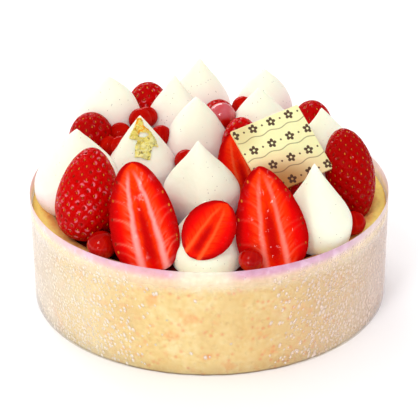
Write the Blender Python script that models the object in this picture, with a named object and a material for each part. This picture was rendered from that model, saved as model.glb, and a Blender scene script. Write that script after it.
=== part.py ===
"""A fraisier for six: a round sponge case in a clear collar, with a crown of
cream drops, strawberries and redcurrants, a white chocolate square and gold leaf.

Sizes are in millimetres. Point zero is the middle of the base, +Z is up, and
the front of the cake looks along -Y.
"""

import math

import bpy
import bmesh
from mathutils import Vector

MM = 0.001

# Case, jelly and collar
COLLAR_RADIUS = 80.0
COLLAR_HEIGHT = 50.0
COLLAR_THICKNESS = 0.4
COLLAR_LAP_START = math.radians(130)
COLLAR_LAP_LENGTH = math.radians(12)
COLLAR_LAP_LIFT = 0.65
SPONGE_RADIUS = 79.3
SPONGE_HEIGHT = 45.0
SPONGE_EDGE = 1.4
RIM_WIDTH = 9.3
RIM_WAVE = 0.35
RECESS_FLOOR = 41.6
JELLY_TOP = 44.0
AROUND = 64

# Clearance between neighbours, and how far a cutter grows to leave it
GAP = 0.3
GROWTH = 0.42
SHORTEST_EDGE = 0.04

# Toppings start below the bed and are cut off where they rest on it
ROOT_HEIGHT = 42.6
DROP_SIDES = 16
BERRY_SIDES = 14
BURIED_BERRY_SIDES = 10
BERRY_RINGS = 9

# How a drop is piped, as shares: its foot's width of the belly's, how high the
# belly swells, and the width and height of its neck
CONE = (0.74, 0.25, 0.42, 0.52)
CONE_ON_NARROW_FOOT = (0.62, 0.25, 0.42, 0.52)
FLARED = (0.74, 0.20, 0.55, 0.52)
TENT = (0.74, 0.25, 0.62, 0.52)
DOMED = (0.74, 0.25, 0.75, 0.52)
ONION = (0.74, 0.35, 0.36, 0.64)
ROUND = (0.74, 0.40, 0.40, 0.70)
PLUMP = (0.74, 0.45, 0.48, 0.75)
BROAD = (0.74, 0.52, 0.56, 0.78)
SQUAT = (0.94, 0.45, 0.48, 0.75)

# Cream drops, front ones first: foot x, y; belly radius and height; tip x, y, z
CREAM_DROPS = [
    (-2.5, -22.0, 16.6, 58.3, -4.5, -22.0, 82.0, CONE_ON_NARROW_FOOT),
    (-1.2, -59.8, 14.8, 47.5, -1.5, -46.0, 65.0, SQUAT),
    (46.6, -44.0, 14.4, 54.5, 43.8, -43.3, 81.0, CONE),
    (-58.2, -6.0, 19.4, 52.5, -57.4, -6.0, 80.6, ROUND),
    (-29.5, 4.5, 15.5, 57.0, -30.2, 4.5, 82.0, FLARED),
    (56.0, 11.0, 18.0, 54.0, 50.4, 13.4, 81.0, ONION),
    (-5.1, 22.7, 14.8, 58.5, -5.6, 22.7, 83.0, DOMED),
    (26.0, 30.6, 15.0, 60.0, 22.8, 30.6, 84.0, ROUND),
    (-16.0, 43.7, 14.0, 60.0, -15.6, 43.7, 84.8, ONION),
    (-46.6, 42.5, 16.6, 56.0, -46.0, 43.0, 84.6, BROAD),
    (26.2, 55.0, 14.0, 60.0, 26.2, 55.0, 83.0, PLUMP),
    (-4.0, 63.0, 14.8, 60.0, -4.1, 65.0, 84.8, TENT),
]
GILDED_DROP = 4

# Whole strawberries: stalk end x, y, z; tip x, y, z; greatest radius, and where
# along the berry it lies. Those from FIRST_BURIED on hold up the ones in sight
WHOLE_STRAWBERRIES = [
    (-53.2, -42.0, 44.4, -48.9, -28.0, 81.8, 14.0, 0.38),
    (58.0, -1.1, 77.3, 65.6, -22.3, 43.5, 10.9, 0.48),
    (47.6, 37.5, 73.3, 48.7, 38.0, 42.0, 9.8, 0.45),
    (-28.4, 56.0, 75.2, -28.6, 57.0, 41.0, 10.6, 0.45),
    (-53.2, 24.0, 74.0, -54.0, 25.0, 41.0, 10.9, 0.45),
    (4.8, 45.0, 70.8, 4.8, 46.0, 42.0, 9.4, 0.45),
    (14.8, 14.5, 75.6, 14.0, 14.0, 42.0, 9.0, 0.45),
    (-37.0, -34.5, 52.5, -18.0, -40.5, 53.5, 10.3, 0.38),
    (23.5, -40.0, 42.0, 26.0, -32.0, 62.5, 11.8, 0.38),
    (-43.0, 14.0, 42.0, -43.0, 14.0, 59.5, 8.5, 0.40),
    (-29.0, 30.0, 42.0, -30.0, 31.0, 62.5, 8.5, 0.40),
    (33.0, -11.0, 42.0, 33.5, -10.0, 71.0, 12.0, 0.38),
]
FIRST_BURIED = 8

# Halved strawberries, cut face towards the front, given the same way and with
# how slender their ends are: 0.5 is as blunt as the whole ones
HALF_STRAWBERRIES = [
    (-23.4, -67.5, 43.0, -31.9, -50.0, 85.5, 14.2, 0.37, 0.46),
    (28.6, -67.5, 43.0, 20.3, -52.0, 84.0, 15.0, 0.33, 0.56),
    (-8.0, -70.2, 51.8, 7.7, -62.4, 72.3, 10.7, 0.50, 0.50),
    (19.0, -19.0, 48.0, 9.5, -5.3, 77.3, 11.2, 0.38, 0.50),
]
BLUNT = 0.5
CUT_FACING = Vector((0.0, -0.887, 0.461))

# Redcurrants: centre x, y, z and radius
REDCURRANTS = [
    (-45.0, -56.0, 49.9, 6.2),
    (16.8, -69.0, 49.6, 5.1),
    (61.4, -38.5, 50.1, 5.3),
    (-31.2, 31.0, 67.8, 5.5),
    (-28.4, 34.2, 67.7, 5.0),
    (-40.4, 24.8, 63.6, 5.3),
    (-44.8, 16.0, 61.8, 4.6),
    (-39.5, 8.5, 65.3, 4.6),
    (-21.6, 21.0, 64.5, 4.8),
    (-10.2, 1.0, 61.2, 5.2),
    (-11.5, 3.0, 52.5, 5.2),
    (6.2, 30.0, 69.3, 6.6),
    (16.0, 42.0, 68.8, 5.2),
    (42.0, 56.0, 50.0, 5.4),
    (11.5, 64.0, 49.6, 5.0),
]

# White chocolate square: side, thickness and three corners of its upper face
SQUARE_SIDE = 33.0
SQUARE_THICKNESS = 1.6
SQUARE_RIGHT_CORNER = Vector((53.2, -17.1, 65.7))
SQUARE_TOP_CORNER = Vector((39.0, 3.5, 87.0))
SQUARE_LEFT_CORNER = Vector((10.4, -12.8, 82.0))

# Gold leaf: its grid on the drop, with the first and last column of each row
LEAF_THICKNESS = 0.3
LEAF_LIFT = 0.45
LEAF_CRINKLE = 0.15
LEAF_SLOPE = 0.45
LEAF_COLUMNS = 8
LEAF_ROWS = [(2, 4), (2, 4), (2, 4), (2, 7), (0, 7), (0, 6), (1, 6), (1, 5), (2, 5)]
LEAF_HOLE = [(3, 5), (4, 5)]
LEAF_ANGLES = (math.radians(-129), math.radians(-29))
LEAF_STEPS = (0.52, 0.97)


def clear_scene():
    for thing in list(bpy.data.objects):
        bpy.data.objects.remove(thing, do_unlink=True)


def make_material(name, colour, roughness, metallic=0.0):
    material = bpy.data.materials.new(name)
    material.use_nodes = True
    shader = material.node_tree.nodes["Principled BSDF"]
    shader.inputs["Base Color"].default_value = (*colour, 1.0)
    shader.inputs["Roughness"].default_value = roughness
    shader.inputs["Metallic"].default_value = metallic
    return material


def finish_object(name, shape, material, smooth_angle=None):
    """Close a bmesh into a named object, with sizes turned from mm to metres."""
    shape.normal_update()
    bmesh.ops.recalc_face_normals(shape, faces=shape.faces)
    bmesh.ops.scale(shape, vec=(MM, MM, MM), verts=shape.verts)
    mesh = bpy.data.meshes.new(name)
    shape.to_mesh(mesh)
    shape.free()
    mesh.materials.append(material)
    if smooth_angle is not None:
        mesh.shade_smooth()
        mesh.set_sharp_from_angle(angle=smooth_angle)
    obj = bpy.data.objects.new(name, mesh)
    bpy.context.collection.objects.link(obj)
    return obj


def turn_profile(points, sides):
    """Spin a profile of (radius, height) points round the Z axis."""
    shape = bmesh.new()
    verts = [shape.verts.new((radius, 0.0, height)) for radius, height in points]
    edges = [shape.edges.new(pair) for pair in zip(verts, verts[1:])]
    bmesh.ops.spin(
        shape, geom=verts + edges, cent=(0, 0, 0), axis=(0, 0, 1),
        angle=math.tau, steps=sides, use_merge=True,
    )
    bmesh.ops.remove_doubles(shape, verts=shape.verts, dist=0.0005)
    return shape


def rim_rise(angle):
    """How far the baked edge of the case stands above its mean height."""
    slow = math.sin(3 * angle + 0.6)
    quick = math.sin(7 * angle + 2.0)
    return RIM_WAVE * (0.6 * slow + 0.4 * quick)


def lift_rim(shape, above):
    """Give the vertices above a height the uneven edge of the case."""
    for vert in shape.verts:
        if vert.co.z > above:
            vert.co.z += rim_rise(math.atan2(vert.co.y, vert.co.x))


def build_sponge_case():
    inner = SPONGE_RADIUS - RIM_WIDTH
    points = [(0.0, 0.0), (SPONGE_RADIUS, 0.0), (SPONGE_RADIUS, SPONGE_HEIGHT - SPONGE_EDGE)]
    for step in (1, 2):
        turn = step * math.pi / 4
        points.append((
            SPONGE_RADIUS - SPONGE_EDGE * (1 - math.cos(turn)),
            SPONGE_HEIGHT - SPONGE_EDGE * (1 - math.sin(turn)),
        ))
    points += [(inner + 0.9, SPONGE_HEIGHT), (inner, SPONGE_HEIGHT - 0.9)]
    points += [(inner, RECESS_FLOOR), (0.0, RECESS_FLOOR)]
    shape = turn_profile(points, AROUND)
    lift_rim(shape, SPONGE_HEIGHT - SPONGE_EDGE - 0.1)
    colour = make_material("sponge", (0.86, 0.68, 0.40), 0.9)
    return finish_object("sponge_case", shape, colour, math.radians(35))


def build_jelly():
    radius = SPONGE_RADIUS - RIM_WIDTH - GAP
    floor = RECESS_FLOOR + GAP
    points = [(0.0, floor), (radius, floor), (radius, JELLY_TOP - 0.5)]
    points += [(radius - 0.6, JELLY_TOP), (0.0, JELLY_TOP)]
    shape = turn_profile(points, AROUND // 2)
    colour = make_material("berry_jelly", (0.16, 0.004, 0.006), 0.15)
    return finish_object("berry_jelly", shape, colour, math.radians(35))


def build_bed_cutter():
    """The space of the case and the jelly, grown by the gap."""
    inner = SPONGE_RADIUS - RIM_WIDTH
    bottom = RECESS_FLOOR - 10
    top = SPONGE_HEIGHT + GAP
    points = [(0.0, bottom), (COLLAR_RADIUS + 8, bottom), (COLLAR_RADIUS + 8, top)]
    points += [(inner - 0.2, top), (inner - 1.2, JELLY_TOP + GAP), (0.0, JELLY_TOP + GAP)]
    shape = turn_profile(points, AROUND)
    lift_rim(shape, top - 0.1)
    return finish_object("bed_cutter", shape, make_material("cutter", (0.5, 0.5, 0.5), 0.5))


def collar_middle(turn):
    """Radius of the collar's middle line at an angle from where the strip starts."""
    lap = math.radians(8)
    ramp = min(max((turn - (math.tau - lap)) / lap, 0.0), 1.0)
    smooth = ramp * ramp * (3 - 2 * ramp)
    return COLLAR_RADIUS - COLLAR_THICKNESS / 2 + COLLAR_LAP_LIFT * smooth


def build_collar():
    """A strip of clear film bent round the case, its end lapped over its start."""
    step = math.tau / AROUND
    turns = [step * index for index in range(AROUND - 2)]
    turns += [math.tau - math.radians(degrees) for degrees in (8, 6, 4, 2, 0)]
    turns += [math.tau + COLLAR_LAP_LENGTH / 2, math.tau + COLLAR_LAP_LENGTH]
    shape = bmesh.new()
    rings = []
    for turn in turns:
        angle = COLLAR_LAP_START + turn
        ring = []
        for side, height in ((-1, 0), (1, 0), (1, COLLAR_HEIGHT), (-1, COLLAR_HEIGHT)):
            radius = collar_middle(turn) + side * COLLAR_THICKNESS / 2
            ring.append(shape.verts.new((
                radius * math.cos(angle), radius * math.sin(angle), height,
            )))
        rings.append(ring)
    for this, other in zip(rings, rings[1:]):
        for corner in range(4):
            after = (corner + 1) % 4
            shape.faces.new((this[corner], other[corner], other[after], this[after]))
    shape.faces.new(rings[0])
    shape.faces.new(rings[-1])
    colour = make_material("clear_film", (0.95, 0.93, 0.92), 0.1)
    return finish_object("clear_collar", shape, colour, math.radians(35))


def cubic(points, step):
    """A point on a cubic curve with four control points."""
    rest = 1 - step
    weights = (rest**3, 3 * rest**2 * step, 3 * rest * step**2, step**3)
    return tuple(sum(w * p[axis] for w, p in zip(weights, points)) for axis in (0, 1))


def drop_outline(drop, step):
    """Radius and height on a piped drop, from its foot at 0 to its tip at 1."""
    belly = drop[2]
    belly_z = drop[3]
    tip_z = drop[6]
    foot, shoulder, neck, neck_height = drop[7]
    low = belly_z - ROOT_HEIGHT
    high = tip_z - belly_z
    share = 0.3
    if step < share:
        curve = (
            (belly * foot, ROOT_HEIGHT),
            (belly * (1 + foot) / 2, ROOT_HEIGHT + 0.15 * low),
            (belly, belly_z - 0.5 * low),
            (belly, belly_z),
        )
        return cubic(curve, step / share)
    curve = (
        (belly, belly_z),
        (belly, belly_z + shoulder * high),
        (belly * neck, belly_z + neck_height * high),
        (0.0, tip_z),
    )
    return cubic(curve, (step - share) / (1 - share))


def drop_point(drop, step, angle):
    """A point on the skin of a drop, which leans towards its tip."""
    radius, height = drop_outline(drop, step)
    climb = (height - ROOT_HEIGHT) / (drop[6] - ROOT_HEIGHT)
    lean = climb**1.3
    swell = 1 + 0.03 * math.sin(2 * angle + drop[0]) + 0.015 * math.sin(3 * angle + drop[1])
    reach = radius * swell
    return Vector((
        drop[0] + (drop[4] - drop[0]) * lean + reach * math.cos(angle),
        drop[1] + (drop[5] - drop[1]) * lean + reach * math.sin(angle),
        height,
    ))


def build_cream_drop(index, drop, material):
    steps = [0.0, 0.12, 0.3, 0.42, 0.53, 0.64, 0.75, 0.87]
    profile = [(0.0, -1.0)] + [(1.0, step) for step in steps] + [(0.0, 1.0)]
    shape = turn_profile(profile, DROP_SIDES)
    for vert in shape.verts:
        angle = math.atan2(vert.co.y, vert.co.x)
        if vert.co.z < -0.5:
            vert.co = (drop[0], drop[1], ROOT_HEIGHT)
        else:
            vert.co = drop_point(drop, vert.co.z, angle)
    return finish_object(f"cream_drop_{index:02d}", shape, material, math.radians(60))


def berry_radius(step, greatest, widest, slender):
    """Radius of a strawberry, from its stalk end at 0 to its tip at 1."""
    power = math.log(0.5) / math.log(widest)
    return greatest * math.sin(math.pi * step**power) ** slender


def berry_profile(length, greatest, widest, slender=BLUNT):
    points = [(0.0, 0.0)]
    for ring in range(1, BERRY_RINGS):
        step = 0.5 - 0.5 * math.cos(math.pi * ring / BERRY_RINGS)
        points.append((berry_radius(step, greatest, widest, slender), length * step))
    points.append((0.0, length))
    return points


def stand_along(shape, foot, tip, facing):
    """Turn a shape made up the Z axis so that it runs from foot to tip."""
    along = (tip - foot).normalized()
    front = (facing - along * facing.dot(along)).normalized()
    side = front.cross(along)
    for vert in shape.verts:
        x, y, z = vert.co
        vert.co = foot + side * x - front * y + along * z


def build_whole_strawberry(index, berry, material):
    foot = Vector(berry[0:3])
    tip = Vector(berry[3:6])
    sides = BURIED_BERRY_SIDES if index >= FIRST_BURIED else BERRY_SIDES
    shape = turn_profile(berry_profile((tip - foot).length, *berry[6:]), sides)
    stand_along(shape, foot, tip, CUT_FACING)
    name = f"whole_strawberry_{index:02d}"
    return finish_object(name, shape, material, math.radians(60))


def build_half_strawberry(index, berry, material):
    """A strawberry cut along its length, its flat face towards the front."""
    foot = Vector(berry[0:3])
    tip = Vector(berry[3:6])
    shape = turn_profile(berry_profile((tip - foot).length, *berry[6:]), BERRY_SIDES + 4)
    everything = list(shape.verts) + list(shape.edges) + list(shape.faces)
    bmesh.ops.bisect_plane(
        shape, geom=everything, plane_co=(0, 0, 0), plane_no=(0, -1, 0), clear_outer=True,
    )
    open_edges = [edge for edge in shape.edges if edge.is_boundary]
    bmesh.ops.contextual_create(shape, geom=open_edges)
    stand_along(shape, foot, tip, CUT_FACING)
    name = f"half_strawberry_{index:02d}"
    return finish_object(name, shape, material, math.radians(40))


def build_redcurrant(index, berry, material):
    shape = bmesh.new()
    bmesh.ops.create_uvsphere(shape, u_segments=10, v_segments=7, radius=berry[3])
    bmesh.ops.scale(shape, vec=(1.0, 1.0, 0.95), verts=shape.verts)
    bmesh.ops.translate(shape, vec=berry[0:3], verts=shape.verts)
    return finish_object(f"redcurrant_{index:02d}", shape, material, math.radians(60))


def build_chocolate_square():
    """A thin square tile that lies back on the fruit and the cream."""
    across = (SQUARE_TOP_CORNER - SQUARE_LEFT_CORNER).normalized()
    down = SQUARE_RIGHT_CORNER - SQUARE_TOP_CORNER
    down = (down - across * down.dot(across)).normalized()
    out = down.cross(across)
    shape = bmesh.new()
    bmesh.ops.create_cube(shape, size=1.0)
    size = (SQUARE_SIDE, SQUARE_SIDE, SQUARE_THICKNESS)
    bmesh.ops.scale(shape, vec=size, verts=shape.verts)
    bmesh.ops.bevel(
        shape, geom=list(shape.edges), offset=0.25, segments=1, affect="EDGES",
    )
    middle = SQUARE_TOP_CORNER + (down - across) * SQUARE_SIDE / 2 - out * SQUARE_THICKNESS / 2
    for vert in shape.verts:
        x, y, z = vert.co
        vert.co = middle + across * x + down * y + out * z
    colour = make_material("white_chocolate", (0.93, 0.86, 0.52), 0.35)
    return finish_object("chocolate_square", shape, colour)


def build_gold_leaf():
    """A torn, crinkled sheet that follows the skin of its drop."""
    drop = CREAM_DROPS[GILDED_DROP]
    cells = [
        (column, row)
        for row, (first, last) in enumerate(LEAF_ROWS)
        for column in range(first, last + 1)
        if (column, row) not in LEAF_HOLE
    ]
    shape = bmesh.new()
    grid = {}
    for column, row in cells:
        for key in ((column, row), (column + 1, row), (column + 1, row + 1), (column, row + 1)):
            if key in grid:
                continue
            angle = LEAF_ANGLES[0] + (LEAF_ANGLES[1] - LEAF_ANGLES[0]) * key[0] / LEAF_COLUMNS
            step = LEAF_STEPS[0] + (LEAF_STEPS[1] - LEAF_STEPS[0]) * key[1] / len(LEAF_ROWS)
            crinkle = LEAF_CRINKLE * (1 + math.sin(2.3 * key[0] + 1.1) * math.cos(1.9 * key[1]))
            out = Vector((math.cos(angle), math.sin(angle), LEAF_SLOPE)).normalized()
            grid[key] = shape.verts.new(drop_point(drop, step, angle) + out * (LEAF_LIFT + crinkle))
    for column, row in cells:
        corners = [(column, row), (column + 1, row), (column + 1, row + 1), (column, row + 1)]
        shape.faces.new([grid[corner] for corner in corners])
    bmesh.ops.triangulate(shape, faces=shape.faces)
    shape.normal_update()
    outward = {tuple(vert.co): vert.normal.copy() for vert in shape.verts}
    raised = bmesh.ops.extrude_face_region(shape, geom=list(shape.faces), use_keep_orig=True)
    for item in raised["geom"]:
        if isinstance(item, bmesh.types.BMVert):
            item.co += outward[tuple(item.co)] * LEAF_THICKNESS
    colour = make_material("gold_leaf", (0.85, 0.70, 0.20), 0.3, 1.0)
    return finish_object("gold_leaf", shape, colour)


def grow(obj):
    """A copy of an object, a little larger all round, to cut its neighbours."""
    mesh = obj.data.copy()
    copy = bpy.data.objects.new(obj.name + "_cutter", mesh)
    bpy.context.collection.objects.link(copy)
    shape = bmesh.new()
    shape.from_mesh(mesh)
    shape.normal_update()
    moves = [(vert, vert.normal.copy()) for vert in shape.verts]
    for vert, normal in moves:
        vert.co += normal * GROWTH * MM
    shape.to_mesh(mesh)
    shape.free()
    return copy


def limits(obj):
    places = [vert.co for vert in obj.data.vertices]
    low = [min(place[axis] for place in places) for axis in range(3)]
    high = [max(place[axis] for place in places) for axis in range(3)]
    return low, high


def near(one, other):
    low, high = limits(one)
    other_low, other_high = limits(other)
    return all(low[a] < other_high[a] and other_low[a] < high[a] for a in range(3))


def keep_largest_body(mesh):
    """Drop the loose scraps that a cut can leave."""
    shape = bmesh.new()
    shape.from_mesh(mesh)
    unseen = set(shape.verts)
    bodies = []
    while unseen:
        start = unseen.pop()
        body = {start}
        edge_of_body = [start]
        while edge_of_body:
            vert = edge_of_body.pop()
            for edge in vert.link_edges:
                other = edge.other_vert(vert)
                if other in unseen:
                    unseen.remove(other)
                    body.add(other)
                    edge_of_body.append(other)
        bodies.append(body)
    bodies.sort(key=len)
    scraps = [vert for body in bodies[:-1] for vert in body]
    bmesh.ops.delete(shape, geom=scraps, context="VERTS")
    shape.to_mesh(mesh)
    shape.free()


def clean_faces(mesh):
    """Merge the slivers that cuts leave, and turn every face into triangles."""
    shape = bmesh.new()
    shape.from_mesh(mesh)
    bmesh.ops.remove_doubles(shape, verts=shape.verts, dist=SHORTEST_EDGE * MM)
    bmesh.ops.triangulate(shape, faces=shape.faces)
    bmesh.ops.dissolve_degenerate(shape, edges=shape.edges, dist=SHORTEST_EDGE * MM)
    bmesh.ops.triangulate(shape, faces=shape.faces)
    shape.to_mesh(mesh)
    shape.free()


def cut(obj, cutters):
    """Take the space of the cutters out of an object, one after another."""
    for cutter in cutters:
        if not near(obj, cutter):
            continue
        boolean = obj.modifiers.new("cut", "BOOLEAN")
        boolean.operation = "DIFFERENCE"
        boolean.solver = "EXACT"
        boolean.object = cutter
        graph = bpy.context.evaluated_depsgraph_get()
        mesh = bpy.data.meshes.new_from_object(obj.evaluated_get(graph))
        obj.modifiers.clear()
        old = obj.data
        obj.data = mesh
        bpy.data.meshes.remove(old)
        keep_largest_body(mesh)


def settle_toppings(toppings, bed):
    """Rest each topping on the bed and let it give way to those before it."""
    placed = []
    for topping in toppings:
        cut(topping, [bed] + placed)
        clean_faces(topping.data)
        placed.append(grow(topping))
    for cutter in placed + [bed]:
        bpy.data.objects.remove(cutter, do_unlink=True)


def main():
    clear_scene()
    cream = make_material("vanilla_cream", (0.93, 0.90, 0.78), 0.45)
    skin = make_material("strawberry", (0.60, 0.01, 0.01), 0.3)
    flesh = make_material("cut_strawberry", (0.75, 0.05, 0.02), 0.3)
    glossy = make_material("redcurrant", (0.55, 0.005, 0.005), 0.1)
    build_sponge_case()
    build_jelly()
    build_collar()
    build_gold_leaf()
    toppings = [build_chocolate_square()]
    for index, berry in enumerate(HALF_STRAWBERRIES, 1):
        toppings.append(build_half_strawberry(index, berry, flesh))
    for index, berry in enumerate(REDCURRANTS, 1):
        toppings.append(build_redcurrant(index, berry, glossy))
    for index, berry in enumerate(WHOLE_STRAWBERRIES, 1):
        toppings.append(build_whole_strawberry(index, berry, skin))
    for index, drop in enumerate(CREAM_DROPS, 1):
        toppings.append(build_cream_drop(index, drop, cream))
    settle_toppings(toppings, build_bed_cutter())


main()
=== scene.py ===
# %% [markdown]
# # A fraisier in its clear collar
# A fraisier is a strawberry cake: a round case of sponge in a collar of clear
# film, here with a crown of piped cream, strawberries and redcurrants, a
# square of white chocolate and a scrap of gold leaf. The solid model already
# says where each piece is. This script makes each piece again with the finish
# of the real one, a step at a time, and every new piece stays where its solid is.

# %% Load the frame
import math

import bpy
import numpy as np
from mathutils import Matrix, Vector
from mathutils.kdtree import KDTree


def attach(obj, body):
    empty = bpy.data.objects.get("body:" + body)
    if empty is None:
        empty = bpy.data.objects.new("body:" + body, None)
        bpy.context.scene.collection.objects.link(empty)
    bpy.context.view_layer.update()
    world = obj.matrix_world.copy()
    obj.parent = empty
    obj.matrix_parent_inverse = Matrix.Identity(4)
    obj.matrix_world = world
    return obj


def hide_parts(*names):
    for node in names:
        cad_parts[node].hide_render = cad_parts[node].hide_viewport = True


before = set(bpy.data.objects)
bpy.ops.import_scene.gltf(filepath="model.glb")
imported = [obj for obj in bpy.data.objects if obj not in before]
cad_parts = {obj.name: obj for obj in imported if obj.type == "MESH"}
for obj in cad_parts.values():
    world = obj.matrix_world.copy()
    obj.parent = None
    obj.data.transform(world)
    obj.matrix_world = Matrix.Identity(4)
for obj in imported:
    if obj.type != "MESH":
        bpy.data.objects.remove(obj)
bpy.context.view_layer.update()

MM = 0.001
print("frame:", len(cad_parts), "solids")

# %% [markdown]
# ## The camera
# The cake fills the picture and looks almost free of perspective, so the camera
# is far off with a long lens. It looks down on the cake by about 27 degrees and
# leans by half a degree. The lens is worked out from the focal length in
# pixels, for a picture 420 pixels wide on a sensor 36 mm wide.

# %% Camera
PICTURE_SIDE = 420
FOCAL_PIXELS = 1627.7
SENSOR_MM = 36.0
CAMERA_DISTANCE = 734.0
CAMERA_DROP = math.radians(27.48)
CAMERA_LEAN = math.radians(-0.452)
LOOK_AT = Vector((0.34, 0.0, 36.9))

towards_camera = Vector((0.0, -math.cos(CAMERA_DROP), math.sin(CAMERA_DROP)))
level = Vector((1.0, 0.0, 0.0))
upright = towards_camera.cross(level)
camera_right = math.cos(CAMERA_LEAN) * level + math.sin(CAMERA_LEAN) * upright
camera_up = towards_camera.cross(camera_right)

lens = bpy.data.cameras.new("camera")
lens.sensor_width = SENSOR_MM
lens.lens = FOCAL_PIXELS * SENSOR_MM / PICTURE_SIDE
camera = bpy.data.objects.new("camera", lens)
bpy.context.scene.collection.objects.link(camera)
camera_turn = Matrix((camera_right, camera_up, towards_camera)).transposed().to_4x4()
place = (LOOK_AT + towards_camera * CAMERA_DISTANCE) * MM
camera.matrix_world = Matrix.Translation(place) @ camera_turn
bpy.context.scene.camera = camera
print("lens:", round(lens.lens, 1), "mm")

# %% [markdown]
# ## The sky
# The picture is bright and soft, with the light from the left and from behind. A
# photographed sky would bring its own reflections, so this one is mixed from two
# tones along one direction: white on the bright side, and a dim, slightly rosy
# grey behind the camera. Glossy surfaces see it darker, as they would with black
# cards round the cake, so wet red fruit stays deep red. The standard view keeps
# white white and red red.

# %% Sky
bpy.context.scene.view_settings.view_transform = "Standard"
BRIGHT_SIDE = Vector((-0.52, 0.36, 0.77))
SKY_BRIGHT = (0.98, 0.98, 0.98, 1.0)
SKY_DIM = (0.76, 0.65, 0.75, 1.0)
SKY_FADE = 0.8
SKY_IN_GLOSS = 0.25


def make_sky():
    """A sky that fades from one tone to the other and is darker in gloss."""
    world = bpy.data.worlds.new("studio")
    world.use_nodes = True
    tree = world.node_tree
    way = tree.nodes.new("ShaderNodeTexCoord")
    side = tree.nodes.new("ShaderNodeVectorMath")
    side.operation = "DOT_PRODUCT"
    side.inputs[1].default_value = BRIGHT_SIDE
    level = tree.nodes.new("ShaderNodeMapRange")
    level.interpolation_type = "SMOOTHSTEP"
    level.inputs["From Min"].default_value = -SKY_FADE
    level.inputs["From Max"].default_value = SKY_FADE
    tone = tree.nodes.new("ShaderNodeMix")
    tone.data_type = "RGBA"
    tone.inputs[6].default_value = SKY_DIM
    tone.inputs[7].default_value = SKY_BRIGHT
    tree.links.new(way.outputs["Generated"], side.inputs[0])
    tree.links.new(side.outputs["Value"], level.inputs["Value"])
    tree.links.new(level.outputs["Result"], tone.inputs[0])
    tree.links.new(tone.outputs[2], tree.nodes["Background"].inputs["Color"])
    kind = tree.nodes.new("ShaderNodeLightPath")
    strength = tree.nodes.new("ShaderNodeMapRange")
    strength.inputs["To Min"].default_value = 1.0
    strength.inputs["To Max"].default_value = SKY_IN_GLOSS
    tree.links.new(kind.outputs["Is Glossy Ray"], strength.inputs["Value"])
    tree.links.new(strength.outputs["Result"], tree.nodes["Background"].inputs["Strength"])
    return world


bpy.context.scene.world = make_sky()
print("sky from", SKY_DIM[:3], "to", SKY_BRIGHT[:3])

# %% [markdown]
# ## The lamps
# Lamps shaped like panels give soft edges to every shade. A small window at the
# front left lights the side, a broad one behind the cake gives the tops their
# gleam, and narrow strips near the camera put sharp glints on the wet spots of
# the cut berries and the redcurrants. Each panel is turned to the cake.

# %% Lamps
PANELS = [
    ("front_window", (-0.62, -1.15, 1.45), (0.35, 0.6), 7.6),
    ("back_window", (-0.45, 1.25, 0.62), (1.0, 0.5), 7.4),
    ("strip_for_left_berry", (-0.04, -1.20, 0.43), (0.006, 0.30), 0.15),
    ("strip_for_right_berry", (0.12, -1.22, 0.36), (0.006, 0.30), 0.15),
    ("strip_for_currants", (-0.48, -1.12, 0.16), (0.04, 0.30), 1.6),
]


def add_panel(name, spot, size, energy):
    """A rectangular light at a spot in metres, turned to the cake."""
    data = bpy.data.lights.new(name, "AREA")
    data.shape = "RECTANGLE"
    data.size, data.size_y = size
    data.energy = energy
    panel = bpy.data.objects.new(name, data)
    bpy.context.scene.collection.objects.link(panel)
    panel.location = spot
    aim = LOOK_AT * MM - Vector(spot)
    panel.rotation_euler = aim.to_track_quat("-Z", "Y").to_euler()
    print(name, energy, "W")


for panel in PANELS:
    add_panel(*panel)

# %% [markdown]
# ## Shader sums in Python
# A colour that varies over a surface is a sum of patterns. Wiring Math nodes by
# hand is slow to read, so a wire is wrapped in a small class: adding or
# multiplying two wires then adds the node that does it.

# %% Wires
class Wire:
    """A node's output that can be used in Python sums."""

    def __init__(self, paint, socket):
        self.paint = paint
        self.socket = socket

    def math(self, operation, *others):
        return self.paint.node("ShaderNodeMath", {"operation": operation}, [self, *others])

    def flipped(self, operation, other):
        return self.paint.node("ShaderNodeMath", {"operation": operation}, [other, self])

    def __add__(self, other):
        return self.math("ADD", other)

    def __sub__(self, other):
        return self.math("SUBTRACT", other)

    def __rsub__(self, other):
        return self.flipped("SUBTRACT", other)

    def __mul__(self, other):
        return self.math("MULTIPLY", other)

    def __truediv__(self, other):
        return self.math("DIVIDE", other)

    def __pow__(self, other):
        return self.math("POWER", other)

    def __abs__(self):
        return self.math("ABSOLUTE")

    __radd__ = __add__
    __rmul__ = __mul__

    def between(self, low, high):
        """0 below low, 1 above high and smooth from one to the other."""
        settings = {"interpolation_type": "SMOOTHSTEP"}
        return self.paint.node("ShaderNodeMapRange", settings, [self, low, high, 0.0, 1.0])


print("a wire can:", ", ".join(name for name in vars(Wire) if not name.startswith("__")))

# %% [markdown]
# Colours are given as the numbers of a colour picker, 0 to 255. A shader works
# with amounts of light, so they are turned into those, by the curve that screens
# use. A tone half way up the scale is then only a fifth as bright as white.

# %% Colours
def picked(red, green, blue):
    """The light values of a colour picked as 0 to 255."""
    parts = [value / 255 for value in (red, green, blue)]
    light = [p / 12.92 if p < 0.04045 else ((p + 0.055) / 1.055) ** 2.4 for p in parts]
    return (*light, 1.0)


print("half way up the scale, 128, is", round(picked(128, 0, 0)[0], 3), "of the light")

# %% [markdown]
# A paint is a material with the few patterns that this cake needs: noise for
# cloudy changes, cells for specks and pores, ramps and blends for colours, and
# relief for what is too fine to model. Any other node comes from `node`, which
# takes the node's kind, its settings and what goes into its sockets.

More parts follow.
